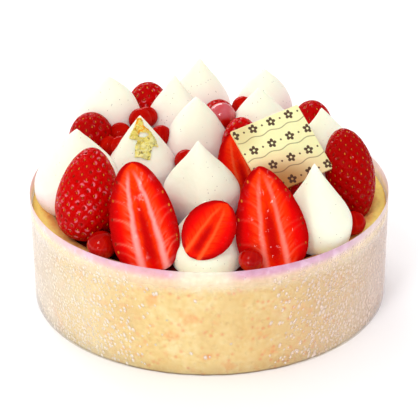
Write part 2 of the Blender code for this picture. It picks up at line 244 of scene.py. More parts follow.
# %% Paints
class Paint:
    """A material, with short ways to add patterns to it."""

    def __init__(self, name, roughness, **fixed):
        self.material = bpy.data.materials.new(name)
        self.material.use_nodes = True
        self.tree = self.material.node_tree
        self.shader = self.tree.nodes["Principled BSDF"]
        self.shader.inputs["Roughness"].default_value = roughness
        for key, value in fixed.items():
            self.shader.inputs[key.replace("_", " ")].default_value = value

    def node(self, kind, settings=None, inputs=(), output=0):
        made = self.tree.nodes.new(kind)
        for key, value in (settings or {}).items():
            if key == "stops":
                self.set_stops(made.color_ramp, value)
            else:
                setattr(made, key, value)
        pairs = inputs.items() if isinstance(inputs, dict) else enumerate(inputs)
        for key, value in pairs:
            if isinstance(value, Wire):
                self.tree.links.new(value.socket, made.inputs[key])
            else:
                made.inputs[key].default_value = value
        return Wire(self, made.outputs[output])

    def set_stops(self, ramp, stops):
        while len(ramp.elements) < len(stops):
            ramp.elements.new(0.5)
        for element, (position, colour) in zip(ramp.elements, stops):
            element.position = position
            element.color = colour

    def place(self, scale=(1.0, 1.0, 1.0)):
        """Where on the piece, in metres, with each axis multiplied."""
        spot = self.node("ShaderNodeTexCoord", output="Object")
        return self.node("ShaderNodeMapping", {}, {"Vector": spot, "Scale": scale})

    def attribute(self, name, output="Fac"):
        """A value or a vector that each point of the mesh carries."""
        return self.node("ShaderNodeAttribute", {"attribute_name": name}, output=output)

    def chart(self, name):
        """Where on the piece's own flat map."""
        return self.node("ShaderNodeUVMap", {"uv_map": name})

    def axes(self, spot):
        """The three numbers of a place or a UV point."""
        parted = self.node("ShaderNodeSeparateXYZ", {}, [spot])
        sockets = parted.socket.node.outputs
        return tuple(Wire(self, socket) for socket in sockets)

    def noise(self, scale, detail=2.0, stretch=(1.0, 1.0, 1.0), distortion=0.0):
        inputs = {
            "Vector": self.place(stretch), "Scale": scale, "Detail": detail,
            "Distortion": distortion,
        }
        return self.node("ShaderNodeTexNoise", {}, inputs)

    def cells(self, scale):
        inputs = {"Vector": self.place(), "Scale": scale}
        return self.node("ShaderNodeTexVoronoi", {}, inputs, "Distance")

    def blend(self, amount, first, second):
        settings = {"data_type": "RGBA"}
        return self.node("ShaderNodeMix", settings, {0: amount, 6: first, 7: second}, 2)

    def ramp(self, amount, *stops):
        return self.node("ShaderNodeValToRGB", {"stops": stops}, [amount])

    def feed(self, socket, wire):
        self.tree.links.new(wire.socket, self.shader.inputs[socket])

    def relief(self, height, depth):
        """Raise the surface by a pattern, up to a depth in metres."""
        bump = self.node("ShaderNodeBump", {}, {"Distance": depth, "Height": height})
        self.feed("Normal", bump)

    def __repr__(self):
        return f"{self.material.name}: {len(self.tree.nodes)} nodes"


print("a paint can:", ", ".join(name for name in vars(Paint) if not name.startswith("__")))

# %% [markdown]
# ## The floor
# A wide, plain, pale floor. It isn't part of the cake, and is there for the
# soft shade that the cake stands in.

# %% Floor
FLOOR_SIZE = 12.0
bpy.ops.object.select_all(action="DESELECT")
bpy.ops.mesh.primitive_plane_add(size=FLOOR_SIZE)
floor = bpy.context.active_object
floor.name = "floor"
floor_paint = Paint("floor", 0.9, Specular_IOR_Level=0.1, Emission_Strength=0.03)
floor_paint.feed("Base Color", floor_paint.blend(
    floor_paint.noise(3.0), picked(250, 250, 250), picked(253, 253, 253)))
floor.data.materials.append(floor_paint.material)
print("floor:", FLOOR_SIZE, "m across,", floor_paint)

# %% [markdown]
# ## Rings
# Most pieces here are round: sponge, drops of cream, berries. By hand they are
# made from a circle that is extruded and resized again and again, and closed at
# the end. `stack_rings` does just that for a list of rings. A screw modifier on
# a drawn outline would do it too, but couldn't lean the drops of cream.

# %% Stacked rings
SAME_SPOT = 0.00001


def stack_rings(name, rings, sides):
    """Extrude and resize a circle through rings of (centre, radius) in mm."""
    bpy.ops.object.select_all(action="DESELECT")
    centre, radius = rings[0]
    bpy.ops.mesh.primitive_circle_add(
        vertices=sides, radius=radius * MM, fill_type="NGON", location=Vector(centre) * MM)
    piece = bpy.context.active_object
    piece.name = name
    bpy.ops.object.transform_apply(location=True, rotation=True, scale=True)
    bpy.ops.object.mode_set(mode="EDIT")
    bpy.ops.mesh.select_all(action="SELECT")
    for (centre, radius), (further, wider) in zip(rings, rings[1:]):
        step = (Vector(further) - Vector(centre)) * MM
        bpy.ops.mesh.extrude_region_move(TRANSFORM_OT_translate={"value": step})
        share = wider / radius
        bpy.ops.transform.resize(
            value=(share, share, share), center_override=Vector(further) * MM)
    bpy.ops.mesh.merge(type="CENTER")
    bpy.ops.mesh.select_all(action="SELECT")
    bpy.ops.mesh.remove_doubles(threshold=SAME_SPOT)
    bpy.ops.mesh.normals_make_consistent(inside=False)
    bpy.ops.object.mode_set(mode="OBJECT")
    return piece


print("rings are closed where points are nearer than", SAME_SPOT / MM, "mm")

# %% [markdown]
# ## Modifiers and the last touch
# The modifiers are applied as they come, because the finished mesh is what is
# kept. Every piece is made where it belongs or moved there with its place laid
# into the mesh, so its object stays at the origin and a pattern fits it.
# `finish` then gives it its paint, smooth shading, its body and its slot, and
# hides the solids that it stands for.

# %% Finishing helpers
def select_only(piece):
    bpy.ops.object.select_all(action="DESELECT")
    bpy.context.view_layer.objects.active = piece
    piece.select_set(True)


def use_modifier(piece, kind, **settings):
    """Add a modifier, set it and apply it."""
    modifier = piece.modifiers.new(kind.lower(), kind)
    for key, value in settings.items():
        setattr(modifier, key, value)
    select_only(piece)
    bpy.ops.object.modifier_apply(modifier=modifier.name)


def round_off(piece, levels):
    use_modifier(piece, "SUBSURF", levels=levels, render_levels=levels)


def push_about(piece, name, size, depth, middle):
    """Push a surface in and out by clouds of a size and a depth in mm."""
    clouds = bpy.data.textures.new(name, "CLOUDS")
    clouds.noise_scale = size * MM
    clouds.noise_depth = 2
    use_modifier(
        piece, "DISPLACE", texture=clouds, strength=depth * MM, mid_level=middle,
        texture_coords="LOCAL")


def set_down(piece, matrix):
    """Put a piece modelled at the origin where it belongs, place in its mesh."""
    piece.matrix_world = matrix
    select_only(piece)
    bpy.ops.object.transform_apply(location=True, rotation=True, scale=True)


def finish(piece, paints, nodes=()):
    for paint in paints:
        piece.data.materials.append(paint.material)
    piece.data.shade_smooth()
    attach(piece, "root")
    if nodes:
        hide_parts(*nodes)
    print(piece.name, len(piece.data.polygons), "faces")


print("solids to finish:", ", ".join(sorted(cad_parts)[:3]), "and so on")

# %% [markdown]
# ## The sponge case
# A case of pale baked sponge, golden at the rim, with small orange flecks. Its
# paint mixes two scales of noise for the crumb. A cell pattern gives the flecks
# and the pores, and the rim has its own tones and streaks. Painted shade makes
# the crumb darker and pinker towards the right, and the rim browner where it
# slopes in.

# %% Sponge paint
CRUMB = (picked(220, 184, 110), picked(227, 199, 128), picked(234, 215, 156))
CRUMB_IN_PAINTED_SHADE = picked(206, 150, 96)
FLECK = picked(224, 132, 76)
BLOT = picked(232, 150, 66)
RIM_GOLD = picked(255, 228, 124)
RIM_BROWN = picked(222, 146, 72)
FOOT_SHADE = picked(96, 66, 50)


def paint_sponge():
    paint = Paint(
        "baked_sponge", 0.9, Subsurface_Weight=0.15, Subsurface_Scale=0.002,
        Subsurface_Radius=(1.0, 0.6, 0.3))
    east, north, height = paint.axes(paint.place())
    out = (east * east + north * north) ** 0.5
    patches = paint.noise(55.0, 3.0)
    grain = paint.noise(420.0, 3.0)
    crumb = paint.ramp(
        patches * 0.55 + grain * 0.45, (0.34, CRUMB[0]), (0.5, CRUMB[1]), (0.66, CRUMB[2]))
    # Painted shade: the crumb turns darker and pinker towards the right, away from the light.
    crumb = paint.blend(east.between(-0.01, 0.08) * 0.55, crumb, CRUMB_IN_PAINTED_SHADE)
    flecks = 1 - paint.cells(330.0).between(0.14, 0.38)
    flecks = flecks * paint.noise(80.0, 1.0).between(0.38, 0.54)
    flecks = flecks * (east.between(-0.06, 0.0) * 0.75 + 0.25)
    crumb = paint.blend(flecks * 0.6, crumb, FLECK)
    blots = paint.noise(130.0, 2.0).between(0.56, 0.72)
    crumb = paint.blend(blots * 0.45, crumb, BLOT)
    on_top = height.between(0.0440, 0.0449)
    inward = 1 - out.between(0.0705, 0.0785)
    streaks = paint.noise(260.0, 4.0, (1.0, 1.0, 0.4))
    # Painted shade: the rim is browner where it slopes in, mixed with streaks.
    slope_shade_and_streaks = (inward * 0.75 + streaks * 0.5).between(0.30, 1.0)
    whole = paint.blend(on_top, crumb, paint.blend(slope_shade_and_streaks, RIM_GOLD, RIM_BROWN))
    foot = 1 - height.between(0.0003, 0.0010)
    paint.feed("Base Color", paint.blend(foot * 0.8, whole, FOOT_SHADE))
    pores = paint.cells(420.0).between(0.1, 0.5)
    paint.relief(grain * 0.5 + pores * 0.5, 0.0005)
    return paint


sponge_paint = paint_sponge()
print(sponge_paint)

# %% [markdown]
# A cylinder with a hole cut in it would need its rim rounded by hand. Rings make
# the whole section in one go: up the wall, over the rounded rim and down into
# the shallow recess for the fruit. A displace modifier then makes the crumb
# uneven, and what it pushes below the floor is set back on it.

# %% Sponge case
SPONGE_RADIUS = 79.2
SPONGE_SIDES = 192
WALL_HEIGHTS = (0.0, 9.0, 18.0, 27.0, 36.0, 41.0, 43.4)
RIM = [
    (78.8, 44.4), (78.0, 44.9), (75.5, 45.0), (73.0, 44.9), (71.2, 44.6), (70.3, 44.0),
]
RECESS_RADIUS = 70.0
RECESS_FLOOR = 41.8

rings = [((0, 0, height), SPONGE_RADIUS) for height in WALL_HEIGHTS]
rings += [((0, 0, height), radius) for radius, height in RIM]
rings += [((0, 0, RECESS_FLOOR), RECESS_RADIUS), ((0, 0, RECESS_FLOOR - 0.1), 30.0)]
rings += [((0, 0, RECESS_FLOOR - 0.1), 0.5)]
sponge = stack_rings("baked_case", rings, SPONGE_SIDES)
push_about(sponge, "crumb", 5.0, 0.6, 0.55)
for vert in sponge.data.vertices:
    vert.co.z = max(vert.co.z, 0.0)
finish(sponge, [sponge_paint], ["sponge_case"])

# %% [markdown]
# ## The berry jelly
# What shows between the fruit is a dark red, wet bed. It is a thin disc with a
# slow swell. Its paint is almost black red, partly the jelly's own colour and
# partly painted shade of the deep gaps between the fruit. It has a faint shine,
# because nearly all that it could mirror is fruit.

# %% Berry jelly
JELLY_RADIUS = 69.9
JELLY_TOP = 44.0
JELLY_SIDES = 96
JELLY_RINGS = (69.0, 60.0, 48.0, 36.0, 24.0, 12.0, 0.5)


def paint_jelly():
    paint = Paint(
        "berry_jelly", 0.2, Specular_IOR_Level=0.02, Coat_Weight=0.08, Coat_Roughness=0.05)
    # Partly painted shade: the jelly is kept almost black, like the deep gaps between the
    # fruit.
    paint.feed("Base Color", paint.ramp(
        paint.noise(90.0, 3.0), (0.35, picked(40, 0, 0)), (0.65, picked(92, 4, 3))))
    paint.relief(paint.noise(160.0, 2.0), 0.001)
    return paint


rings = [((0, 0, RECESS_FLOOR), JELLY_RADIUS), ((0, 0, JELLY_TOP - 0.4), JELLY_RADIUS)]
rings += [((0, 0, JELLY_TOP), radius) for radius in JELLY_RINGS]
jelly = stack_rings("jelly_bed", rings, JELLY_SIDES)
push_about(jelly, "swell", 22.0, 0.6, 0.6)
finish(jelly, [paint_jelly()], ["berry_jelly"])

# %% [markdown]
# ## Cream drops
# The cream is satin, and light goes a few millimetres into it. A faint rosy
# emission lifts its shaded sides as painted light. It carries fine dark specks of
# vanilla, and the drops at the back are painted rosy low down, as shade and the
# light that the fruit throws on them.

# %% Cream paint
CREAM = (picked(238, 246, 216), picked(241, 248, 222))
ROSY_SHADE = picked(238, 206, 214)
VANILLA = picked(90, 66, 58)


def paint_cream():
    # The emission is painted light: a faint rosy glow that lifts the shaded sides.
    paint = Paint(
        "vanilla_cream", 0.5, Subsurface_Weight=0.5, Subsurface_Scale=0.006,
        Subsurface_Radius=(1.0, 0.6, 0.55), Specular_IOR_Level=0.2,
        Emission_Strength=0.07, Emission_Color=(1.0, 0.86, 0.94, 1.0))
    tone = paint.ramp(paint.noise(40.0, 2.0), (0.3, CREAM[0]), (0.7, CREAM[1]))
    east, north, height = paint.axes(paint.place())
    # Painted shade: drops at the back turn rosy low down, as if lit by the fruit.
    reach = north.between(-0.03, 0.04) * 0.012
    rosy_painted_shade = (1 - (height - reach).between(0.050, 0.070)) * north.between(-0.055, -0.03)
    tone = paint.blend(rosy_painted_shade * 0.6, tone, ROSY_SHADE)
    specks = 1 - paint.cells(560.0).between(0.08, 0.13)
    sparse = paint.noise(260.0, 0.0).between(0.50, 0.54)
    paint.feed("Base Color", paint.blend(specks * sparse * 0.75, tone, VANILLA))
    paint.relief(paint.noise(300.0, 2.0), 0.00025)
    return paint


cream_paint = paint_cream()
print(cream_paint)

# %% [markdown]
# Each drop is piped with a plain round nozzle: a round belly on a narrower foot,
# drawn up to a fine point. The rings follow two joined curves, from foot to belly
# and from belly to tip, and the middle of each ring drifts towards the tip. With
# a few named shapes, no drop is the same as its neighbours.

# %% Outline of a drop
ROOT_HEIGHT = 42.8
TIP_RADIUS = 0.10
RINGS_BELOW = 6
RINGS_ABOVE = 15
LEAN_POWER = 1.3


def on_curve(points, step):
    """A point on a cubic curve with four control points."""
    rest = 1 - step
    weights = (rest**3, 3 * rest**2 * step, 3 * rest * step**2, step**3)
    return tuple(sum(w * p[axis] for w, p in zip(weights, points)) for axis in (0, 1))


def drop_rings(foot, belly, belly_z, tip, shape):
    """Rings up a drop of cream that leans towards its tip. The shape gives, as
    shares, how wide the foot is, how high the belly swells, and how wide and how
    high the neck is."""
    foot_width, shoulder, neck, neck_height = shape
    low = belly_z - ROOT_HEIGHT
    high = tip[2] - belly_z
    lower = (
        (belly * foot_width, ROOT_HEIGHT),
        (belly * (1 + foot_width) / 2, ROOT_HEIGHT + 0.15 * low),
        (belly, belly_z - 0.5 * low), (belly, belly_z))
    upper = (
        (belly, belly_z), (belly, belly_z + shoulder * high),
        (belly * neck, belly_z + neck_height * high), (TIP_RADIUS, tip[2]))
    outline = [on_curve(lower, step / RINGS_BELOW) for step in range(RINGS_BELOW)]
    outline += [on_curve(upper, step / RINGS_ABOVE) for step in range(RINGS_ABOVE + 1)]
    rings = []
    for radius, height in outline:
        lean = ((height - ROOT_HEIGHT) / (tip[2] - ROOT_HEIGHT)) ** LEAN_POWER
        x = foot[0] + (tip[0] - foot[0]) * lean
        y = foot[1] + (tip[1] - foot[1]) * lean
        rings.append(((x, y, height), radius))
    return rings


print("rings in a drop:", RINGS_BELOW + RINGS_ABOVE + 1)

# %% [markdown]
# Subdivision then takes the steps out, and a slight displacement keeps any drop
# from being perfect. For each drop the list gives the middle of the foot, the
# width and height of the belly, the tip and the shape.

# %% Cream drops
DROP_SIDES = 40
CONE = (0.74, 0.25, 0.42, 0.52)
CONE_ON_NARROW_FOOT = (0.62, 0.25, 0.42, 0.52)
FLARED = (0.74, 0.20, 0.55, 0.52)
TENT = (0.74, 0.25, 0.62, 0.52)
DOMED = (0.74, 0.25, 0.75, 0.52)
ONION = (0.74, 0.35, 0.36, 0.64)
ROUND = (0.74, 0.40, 0.40, 0.70)
PLUMP = (0.74, 0.45, 0.48, 0.75)
BROAD = (0.74, 0.52, 0.56, 0.78)
SQUAT = (0.94, 0.45, 0.48, 0.75)
DROPS = [
    ((-2.5, -22.0), 16.6, 58.3, (-4.5, -22.0, 82.0), CONE_ON_NARROW_FOOT),
    ((-1.2, -59.8), 14.8, 47.5, (-1.5, -46.0, 65.0), SQUAT),
    ((46.6, -44.0), 14.4, 54.5, (43.8, -43.3, 81.0), CONE),
    ((-58.2, -6.0), 19.4, 52.5, (-57.4, -6.0, 80.6), ROUND),
    ((-29.5, 4.5), 15.5, 57.0, (-30.2, 4.5, 82.0), FLARED),
    ((56.0, 11.0), 18.0, 54.0, (50.4, 13.4, 81.0), ONION),
    ((-5.1, 22.7), 14.8, 58.5, (-5.6, 22.7, 83.0), DOMED),
    ((26.0, 30.6), 15.0, 60.0, (22.8, 30.6, 84.0), ROUND),
    ((-16.0, 43.7), 14.0, 60.0, (-15.6, 43.7, 84.8), ONION),
    ((-46.6, 42.5), 16.6, 56.0, (-46.0, 43.0, 84.6), BROAD),
    ((26.2, 55.0), 14.0, 60.0, (26.2, 55.0, 83.0), PLUMP),
    ((-4.0, 63.0), 14.8, 60.0, (-4.1, 65.0, 84.8), TENT),
]

cream_drops = []
for number, drop in enumerate(DROPS, 1):
    piece = stack_rings(f"piped_cream_{number:02d}", drop_rings(*drop), DROP_SIDES)
    round_off(piece, 1)
    push_about(piece, "hand_made", 16.0, 1.1, 0.5)
    cream_drops.append(piece)
    finish(piece, [cream_paint], [f"cream_drop_{number:02d}"])

# %% [markdown]
# ## Strawberries
# A strawberry is a blunt cone covered in small pits, each with a seed in it.
# Its outline is a sine curve, pushed towards the stalk so that the berry is
# widest there, and made blunt by a power. One formula serves all the berries,
# the pits, the seeds and, further on, the paint of the cut faces.

# %% Berry outline
BLUNT = 0.5


def berry_radius(step, greatest, widest, slender=BLUNT):
    """Radius from the stalk end at 0 to the tip at 1, in mm."""
    power = math.log(0.5) / math.log(widest)
    return greatest * max(math.sin(math.pi * step**power), 0.0) ** slender


def berry_rings(count, length, *girth):
    """Rings up a berry; girth is what berry_radius needs to know of it."""
    steps = [0.5 - 0.5 * math.cos(math.pi * ring / count) for ring in range(1, count)]
    middle = [((0, 0, length * step), berry_radius(step, *girth)) for step in steps]
    return [((0, 0, 0.0), 0.4), *middle, ((0, 0, length), 0.3)]


print("radius half way up a berry widest at 0.4:", round(berry_radius(0.5, 14.0, 0.4), 1), "mm")

# %% [markdown]
# The seeds sit in spirals like those of a sunflower: every next seed is turned by
# the golden angle and moved on by an equal share of the skin. Scattering them by
# chance would leave gaps and pairs that no berry has.

# %% Seed places
GOLDEN_ANGLE = math.pi * (3 - math.sqrt(5))
SEED_SPACING = 3.6
OUTLINE_STEPS = 400


def seed_spots(length, *girth):
    """Evenly spread places on the skin, each with the way out of it."""
    steps = np.linspace(0.0, 1.0, OUTLINE_STEPS)
    radii = np.array([berry_radius(step, *girth) for step in steps])
    heights = steps * length
    run = np.hypot(np.diff(radii), np.diff(heights))
    skin = np.concatenate([[0.0], np.cumsum(run * (radii[1:] + radii[:-1]) * math.pi)])
    count = int(skin[-1] / (SEED_SPACING**2 * 0.87))
    spots = []
    for index in range(count):
        at = np.interp((index + 0.5) / count * skin[-1], skin, steps)
        ahead = berry_radius(min(at + 0.01, 1.0), *girth)
        behind = berry_radius(max(at - 0.01, 0.0), *girth)
        slope = (ahead - behind) / (0.02 * length)
        angle = index * GOLDEN_ANGLE
        around = Vector((math.cos(angle), math.sin(angle), 0.0))
        spot = around * berry_radius(at, *girth) + Vector((0, 0, at * length))
        outward = (around - Vector((0, 0, slope))).normalized()
        spots.append((spot, outward))
    return spots


def seed_axes(outward):
    """The two ways along the skin at a seed: sideways, and towards the tip."""
    side = Vector((0, 0, 1)).cross(outward).normalized()
    return side, outward.cross(side)


print("seeds on a large berry:", len(seed_spots(40.0, 14.0, 0.4)))

# %% [markdown]
# The same places give the pits. Every point of the skin looks for its nearest
# seed and keeps how deep it lies as a weight, which a displace modifier then
# uses. The points also keep where they are from the seed, for the paint.

# %% Pits
PIT_RADIUS = 1.4
PIT_DEPTH = 0.5
GLINT_SIDE_SPREAD = 2.6


def pit_skin(piece, spots, first_seed):
    """Press a pit into the skin at every seed. Each point keeps how deep it lies,
    and where it is from its seed in mm: sideways, towards the tip, and an angle
    that says on which side of that pit the painted glint arcs lie."""
    tree = KDTree(len(spots))
    for index, (spot, outward) in enumerate(spots):
        tree.insert(spot * MM, index)
    tree.balance()
    glint_sides = np.random.RandomState(first_seed).uniform(-GLINT_SIDE_SPREAD, GLINT_SIDE_SPREAD, len(spots))
    depths, seats = [], []
    for vert in piece.data.vertices:
        place, index, gap = tree.find(vert.co)
        side, length_way = seed_axes(spots[index][1])
        way = vert.co / MM - spots[index][0]
        seats += [way.dot(side), way.dot(length_way), glint_sides[index]]
        depths.append(max(0.0, 1 - (gap / MM / PIT_RADIUS) ** 2) ** 1.5)
    piece.data.attributes.new("pit", "FLOAT", "POINT").data.foreach_set("value", depths)
    piece.data.attributes.new("seat", "FLOAT_VECTOR", "POINT").data.foreach_set("vector", seats)
    group = piece.vertex_groups.new(name="pits")
    for index, depth in enumerate(depths):
        if depth > 0:
            group.add([index], depth, "REPLACE")
    use_modifier(
        piece, "DISPLACE", strength=-PIT_DEPTH * MM, mid_level=0.0, vertex_group="pits")


print("pits:", PIT_RADIUS * 2, "mm wide and", PIT_DEPTH, "mm deep")

# %% [markdown]
# The skin is a deep red, with painted shade in the pits and painted darker on
# three of the berries as shade. Painted glints stand at the edges of the pits in
# thin pale arcs, and some pit rims shine. The arcs are drawn round each seed from
# the place that the pits' cell has kept.

# %% Berry skin
SKIN = (picked(178, 0, 0), picked(204, 1, 0))
SHADED_SKIN = picked(140, 0, 0)
PIT_SHADE = picked(128, 1, 0)
PAINTED_GLINT = picked(250, 168, 184)
GLINT_ARCS = [(0.80, 0.03, 0.13, 1.0), (1.15, 0.03, 0.12, 0.8), (1.46, 0.02, 0.10, 0.5)]


def paint_skin():
    paint = Paint(
        "strawberry_skin", 0.3, Specular_IOR_Level=0.03, Coat_Roughness=0.08, Coat_IOR=1.4)
    pit = paint.attribute("pit")
    ripe = paint.attribute("ripe")
    aside, ahead, glint_side = paint.axes(paint.attribute("seat", "Vector"))
    gap = (aside * aside + ahead * ahead) ** 0.5
    facing = (ahead.math("ARCTAN2", aside) - glint_side).math("COSINE").between(0.2, 0.95)
    glint_arcs = sum(
        (1 - abs(gap - radius).between(thin, thick)) * amount
        for radius, thin, thick, amount in GLINT_ARCS)
    moist = paint.noise(110.0, 1.0).between(0.42, 0.54)
    # Painted glints: pale arcs at the pit edges stand in for highlights.
    painted_glints = glint_arcs * facing * moist * pit.between(0.01, 0.12)
    painted_glints = painted_glints * (1 - ripe * 2.6).math("MAXIMUM", 0.0)
    skin = paint.ramp(paint.noise(45.0, 3.0), (0.3, SKIN[0]), (0.7, SKIN[1]))
    # Painted shade: some berries are painted darker, as they lie in shade.
    skin = paint.blend(ripe, skin, SHADED_SKIN)
    # Painted shade: the skin is darker in the pits.
    skin = paint.blend(pit.between(0.25, 1.0) * 0.3, skin, PIT_SHADE)
    paint.feed("Base Color", paint.blend(painted_glints * 0.75, skin, PAINTED_GLINT))
    rims = pit.between(0.02, 0.3) * (1 - pit.between(0.45, 0.75))
    paint.feed("Coat Weight", rims * paint.noise(320.0, 1.0).between(0.45, 0.6))
    paint.feed("Roughness", 0.36 - moist * 0.16)
    paint.relief(paint.noise(900.0, 2.0), 0.0005)
    return paint


skin_paint = paint_skin()
print(skin_paint)

# %% [markdown]
# A seed is a tiny almond. One is modelled and then copied into a single mesh
# for all the seeds, because the berries hold thousands of them. Some are golden
# and some still red.

# %% Seeds
SEED_SIZE = (0.32, 0.22, 0.58)
SEED_SUNK = PIT_DEPTH * 0.75
bpy.ops.object.select_all(action="DESELECT")
bpy.ops.mesh.primitive_uv_sphere_add(segments=6, ring_count=4, radius=MM)
almond = bpy.context.active_object
bpy.ops.object.mode_set(mode="EDIT")
bpy.ops.transform.resize(value=SEED_SIZE)
bpy.ops.mesh.quads_convert_to_tris()
bpy.ops.object.mode_set(mode="OBJECT")
almond_points = np.array([vert.co for vert in almond.data.vertices])
almond_faces = np.array([face.vertices[:] for face in almond.data.polygons])
bpy.data.objects.remove(almond)
seed_points = []


def paint_seed():
    paint = Paint("strawberry_seed", 0.5, Specular_IOR_Level=0.1)
    paint.feed("Base Color", paint.ramp(
        paint.noise(230.0, 1.0), (0.36, picked(140, 24, 4)), (0.47, picked(188, 84, 16)),
        (0.56, picked(226, 132, 40)), (0.66, picked(166, 72, 14))))
    paint.relief(paint.noise(1500.0, 1.0), 0.0002)
    return paint


def lay_seeds(spots, matrix, sunk=SEED_SUNK, size=1.0):
    """Set a seed at each spot, its long side towards the tip of the berry."""
    for spot, outward in spots:
        side, length_way = seed_axes(outward)
        turn = Matrix((side, outward, length_way)).transposed()
        seat = (spot - outward * sunk) * MM
        place = matrix @ Matrix.Translation(seat) @ turn.to_4x4() @ Matrix.Scale(size, 4)
        solid = np.array(place)
        seed_points.append(almond_points @ solid[:3, :3].T + solid[:3, 3])


print("faces in a seed:", len(almond_faces))

# %% [markdown]
# ## Whole strawberries
# A berry is made standing up, pitted, and then laid from its stalk end to its
# tip. The first seven show in the picture and have the finer mesh. The others
# lie under them and at the back. The list gives the stalk end, the tip, the
# greatest radius and how far along the berry is widest.

# %% Whole strawberries
BERRY_SIDES = 48
BERRY_RINGS = 28
HIDDEN_SIDES = 24
HIDDEN_RINGS = 14
FACING = Vector((0.0, -0.887, 0.461))
IN_SIGHT = 7
# Painted shade: how much darker the skin of these berries is painted.
BERRY_SHADES = {2: 0.5, 3: 0.12, 5: 0.3}
WHOLE = [
    ((-53.2, -42.0, 44.4), (-48.9, -28.0, 81.8), 14.0, 0.38),
    ((58.0, -1.1, 77.3), (65.6, -22.3, 43.5), 10.9, 0.48),
    ((47.6, 37.5, 73.3), (48.7, 38.0, 42.0), 9.8, 0.45),
    ((-28.4, 56.0, 75.2), (-28.6, 57.0, 41.0), 10.6, 0.45),
    ((-53.2, 24.0, 74.0), (-54.0, 25.0, 41.0), 10.9, 0.45),
    ((4.8, 45.0, 70.8), (4.8, 46.0, 42.0), 9.4, 0.45),
    ((14.8, 14.5, 75.6), (14.0, 14.0, 42.0), 9.0, 0.45),
    ((-37.0, -34.5, 52.5), (-18.0, -40.5, 53.5), 10.3, 0.38),
    ((23.5, -40.0, 42.0), (26.0, -32.0, 62.5), 11.8, 0.38),
    ((-43.0, 14.0, 42.0), (-43.0, 14.0, 59.5), 8.5, 0.40),
    ((-29.0, 30.0, 42.0), (-30.0, 31.0, 62.5), 8.5, 0.40),
    ((33.0, -11.0, 42.0), (33.5, -10.0, 71.0), 12.0, 0.38),
]


def upright_matrix(foot, tip, facing):
    """Turns a berry made up the Z axis to run from foot to tip, in metres."""
    along = (tip - foot).normalized()
    front = (facing - along * facing.dot(along)).normalized()
    turn = Matrix((along.cross(front), -front, along)).transposed()
    return Matrix.Translation(foot * MM) @ turn.to_4x4()


def make_berry(name, foot, tip, girth, in_sight, number):
    """A pitted berry made up the Z axis, its seed spots, and where it goes."""
    foot, tip = Vector(foot), Vector(tip)
    length = (tip - foot).length
    sides, count = (BERRY_SIDES, BERRY_RINGS) if in_sight else (HIDDEN_SIDES, HIDDEN_RINGS)
    berry = stack_rings(name, berry_rings(count, length, *girth), sides)
    round_off(berry, 2)
    spots = seed_spots(length, *girth)
    pit_skin(berry, spots, number)
    ripe = np.full(len(berry.data.vertices), BERRY_SHADES.get(number, 0.0))
    berry.data.attributes.new("ripe", "FLOAT", "POINT").data.foreach_set("value", ripe)
    return berry, spots, upright_matrix(foot, tip, FACING)


for number, (foot, tip, *girth) in enumerate(WHOLE, 1):
    berry, spots, matrix = make_berry(
        f"strawberry_{number:02d}", foot, tip, girth, number <= IN_SIGHT, number)
    set_down(berry, matrix)
    lay_seeds(spots, matrix)
    finish(berry, [skin_paint], [f"whole_strawberry_{number:02d}"])

# %% [markdown]
# ## Halved strawberries
# Four berries are cut along their length and face the front. The flesh follows
# the berry: a deep red rim, orange flesh, two pale bands that rise from the
# stalk and meet near the tip, and a dark core between them. No two are alike,
# so each has a look of its own. The list of halves gives the stalk end, the tip,
# and then the greatest radius, how far along it is, and the power that makes
# the berry blunt.

# %% Looks of the cut faces
HALVES = [
    ((-23.4, -67.5, 43.0), (-31.9, -50.0, 85.5), (14.2, 0.37, 0.46)),
    ((28.6, -67.5, 43.0), (20.3, -52.0, 84.0), (15.0, 0.33, 0.56)),
    ((-8.0, -70.2, 51.8), (7.7, -62.4, 72.3), (10.7, 0.50, 0.50)),
    ((19.0, -19.0, 48.0), (9.5, -5.3, 77.3), (11.2, 0.38, 0.50)),
]
BAND_TOP = 0.95


class Look:
    """What one cut face looks like. Places across the berry are shares of its
    greatest radius, and places along it shares of its length."""

    def __init__(self, lean, spread, band, pale, fade, warmth, veins, heart):
        self.lean = lean
        self.spread = spread
        self.band = band
        self.pale = pale
        self.fade = fade
        self.warmth = warmth
        self.veins = veins
        self.heart = heart


LOOKS = [
    Look((0.085, -0.17), 0.355, 0.062, picked(255, 162, 156), 0.40, 0.95, 1.0, 0.11),
    Look((-0.02, 0.06), 0.300, 0.034, picked(255, 134, 116), 0.72, 0.8, 0.35, 0.04),
    Look((0.04, -0.10), 0.30, 0.030, picked(255, 92, 40), 0.55, 0.55, 0.0, 0.06),
    Look((0.0, 0.0), 0.30, 0.030, picked(244, 96, 52), 0.50, 0.60, 0.0, 0.06),
]


def band_half_width(look, along):
    """How far the pale bands are from the middle of the core."""
    return look.spread * (1 - min(along / BAND_TOP, 1.0) ** 2) ** 0.6


print("cut berries:", len(HALVES))

# %% [markdown]
# Fine veins curve out from the bands to seeds at the edge. They follow curves,
# which a noise pattern can't draw, so each point of the cut face keeps how
# strongly it lies on a vein. They start at uneven steps, from a fixed seed.

# %% Veins
VEIN_STEP = 6.6
VEIN_RISE = 0.15
VEIN_WIDTH = 0.36
VEIN_POINTS = 24
LAST_VEIN = 0.93
MARGIN = 1.3


def vein_ends(look, length, girth):
    """Where each vein leaves its band and where the seed at its end is, in mm."""
    chance = np.random.RandomState(8)
    for side in (-1, 1):
        for step in range(int(length / VEIN_STEP) + 1):
            start = 0.03 + (step + 0.3 * side + chance.uniform(-0.4, 0.4)) * VEIN_STEP / length
            end = start + VEIN_RISE * chance.uniform(0.45, 1.4)
            if start < 0.0 or end > LAST_VEIN:
                continue
            middle = look.lean[0] + look.lean[1] * start
            band = (middle + side * band_half_width(look, start)) * girth[0]
            edge = side * (berry_radius(end, *girth) - MARGIN)
            if abs(edge) > abs(band) + 1.0:
                yield (band, start * length), (edge, end * length)


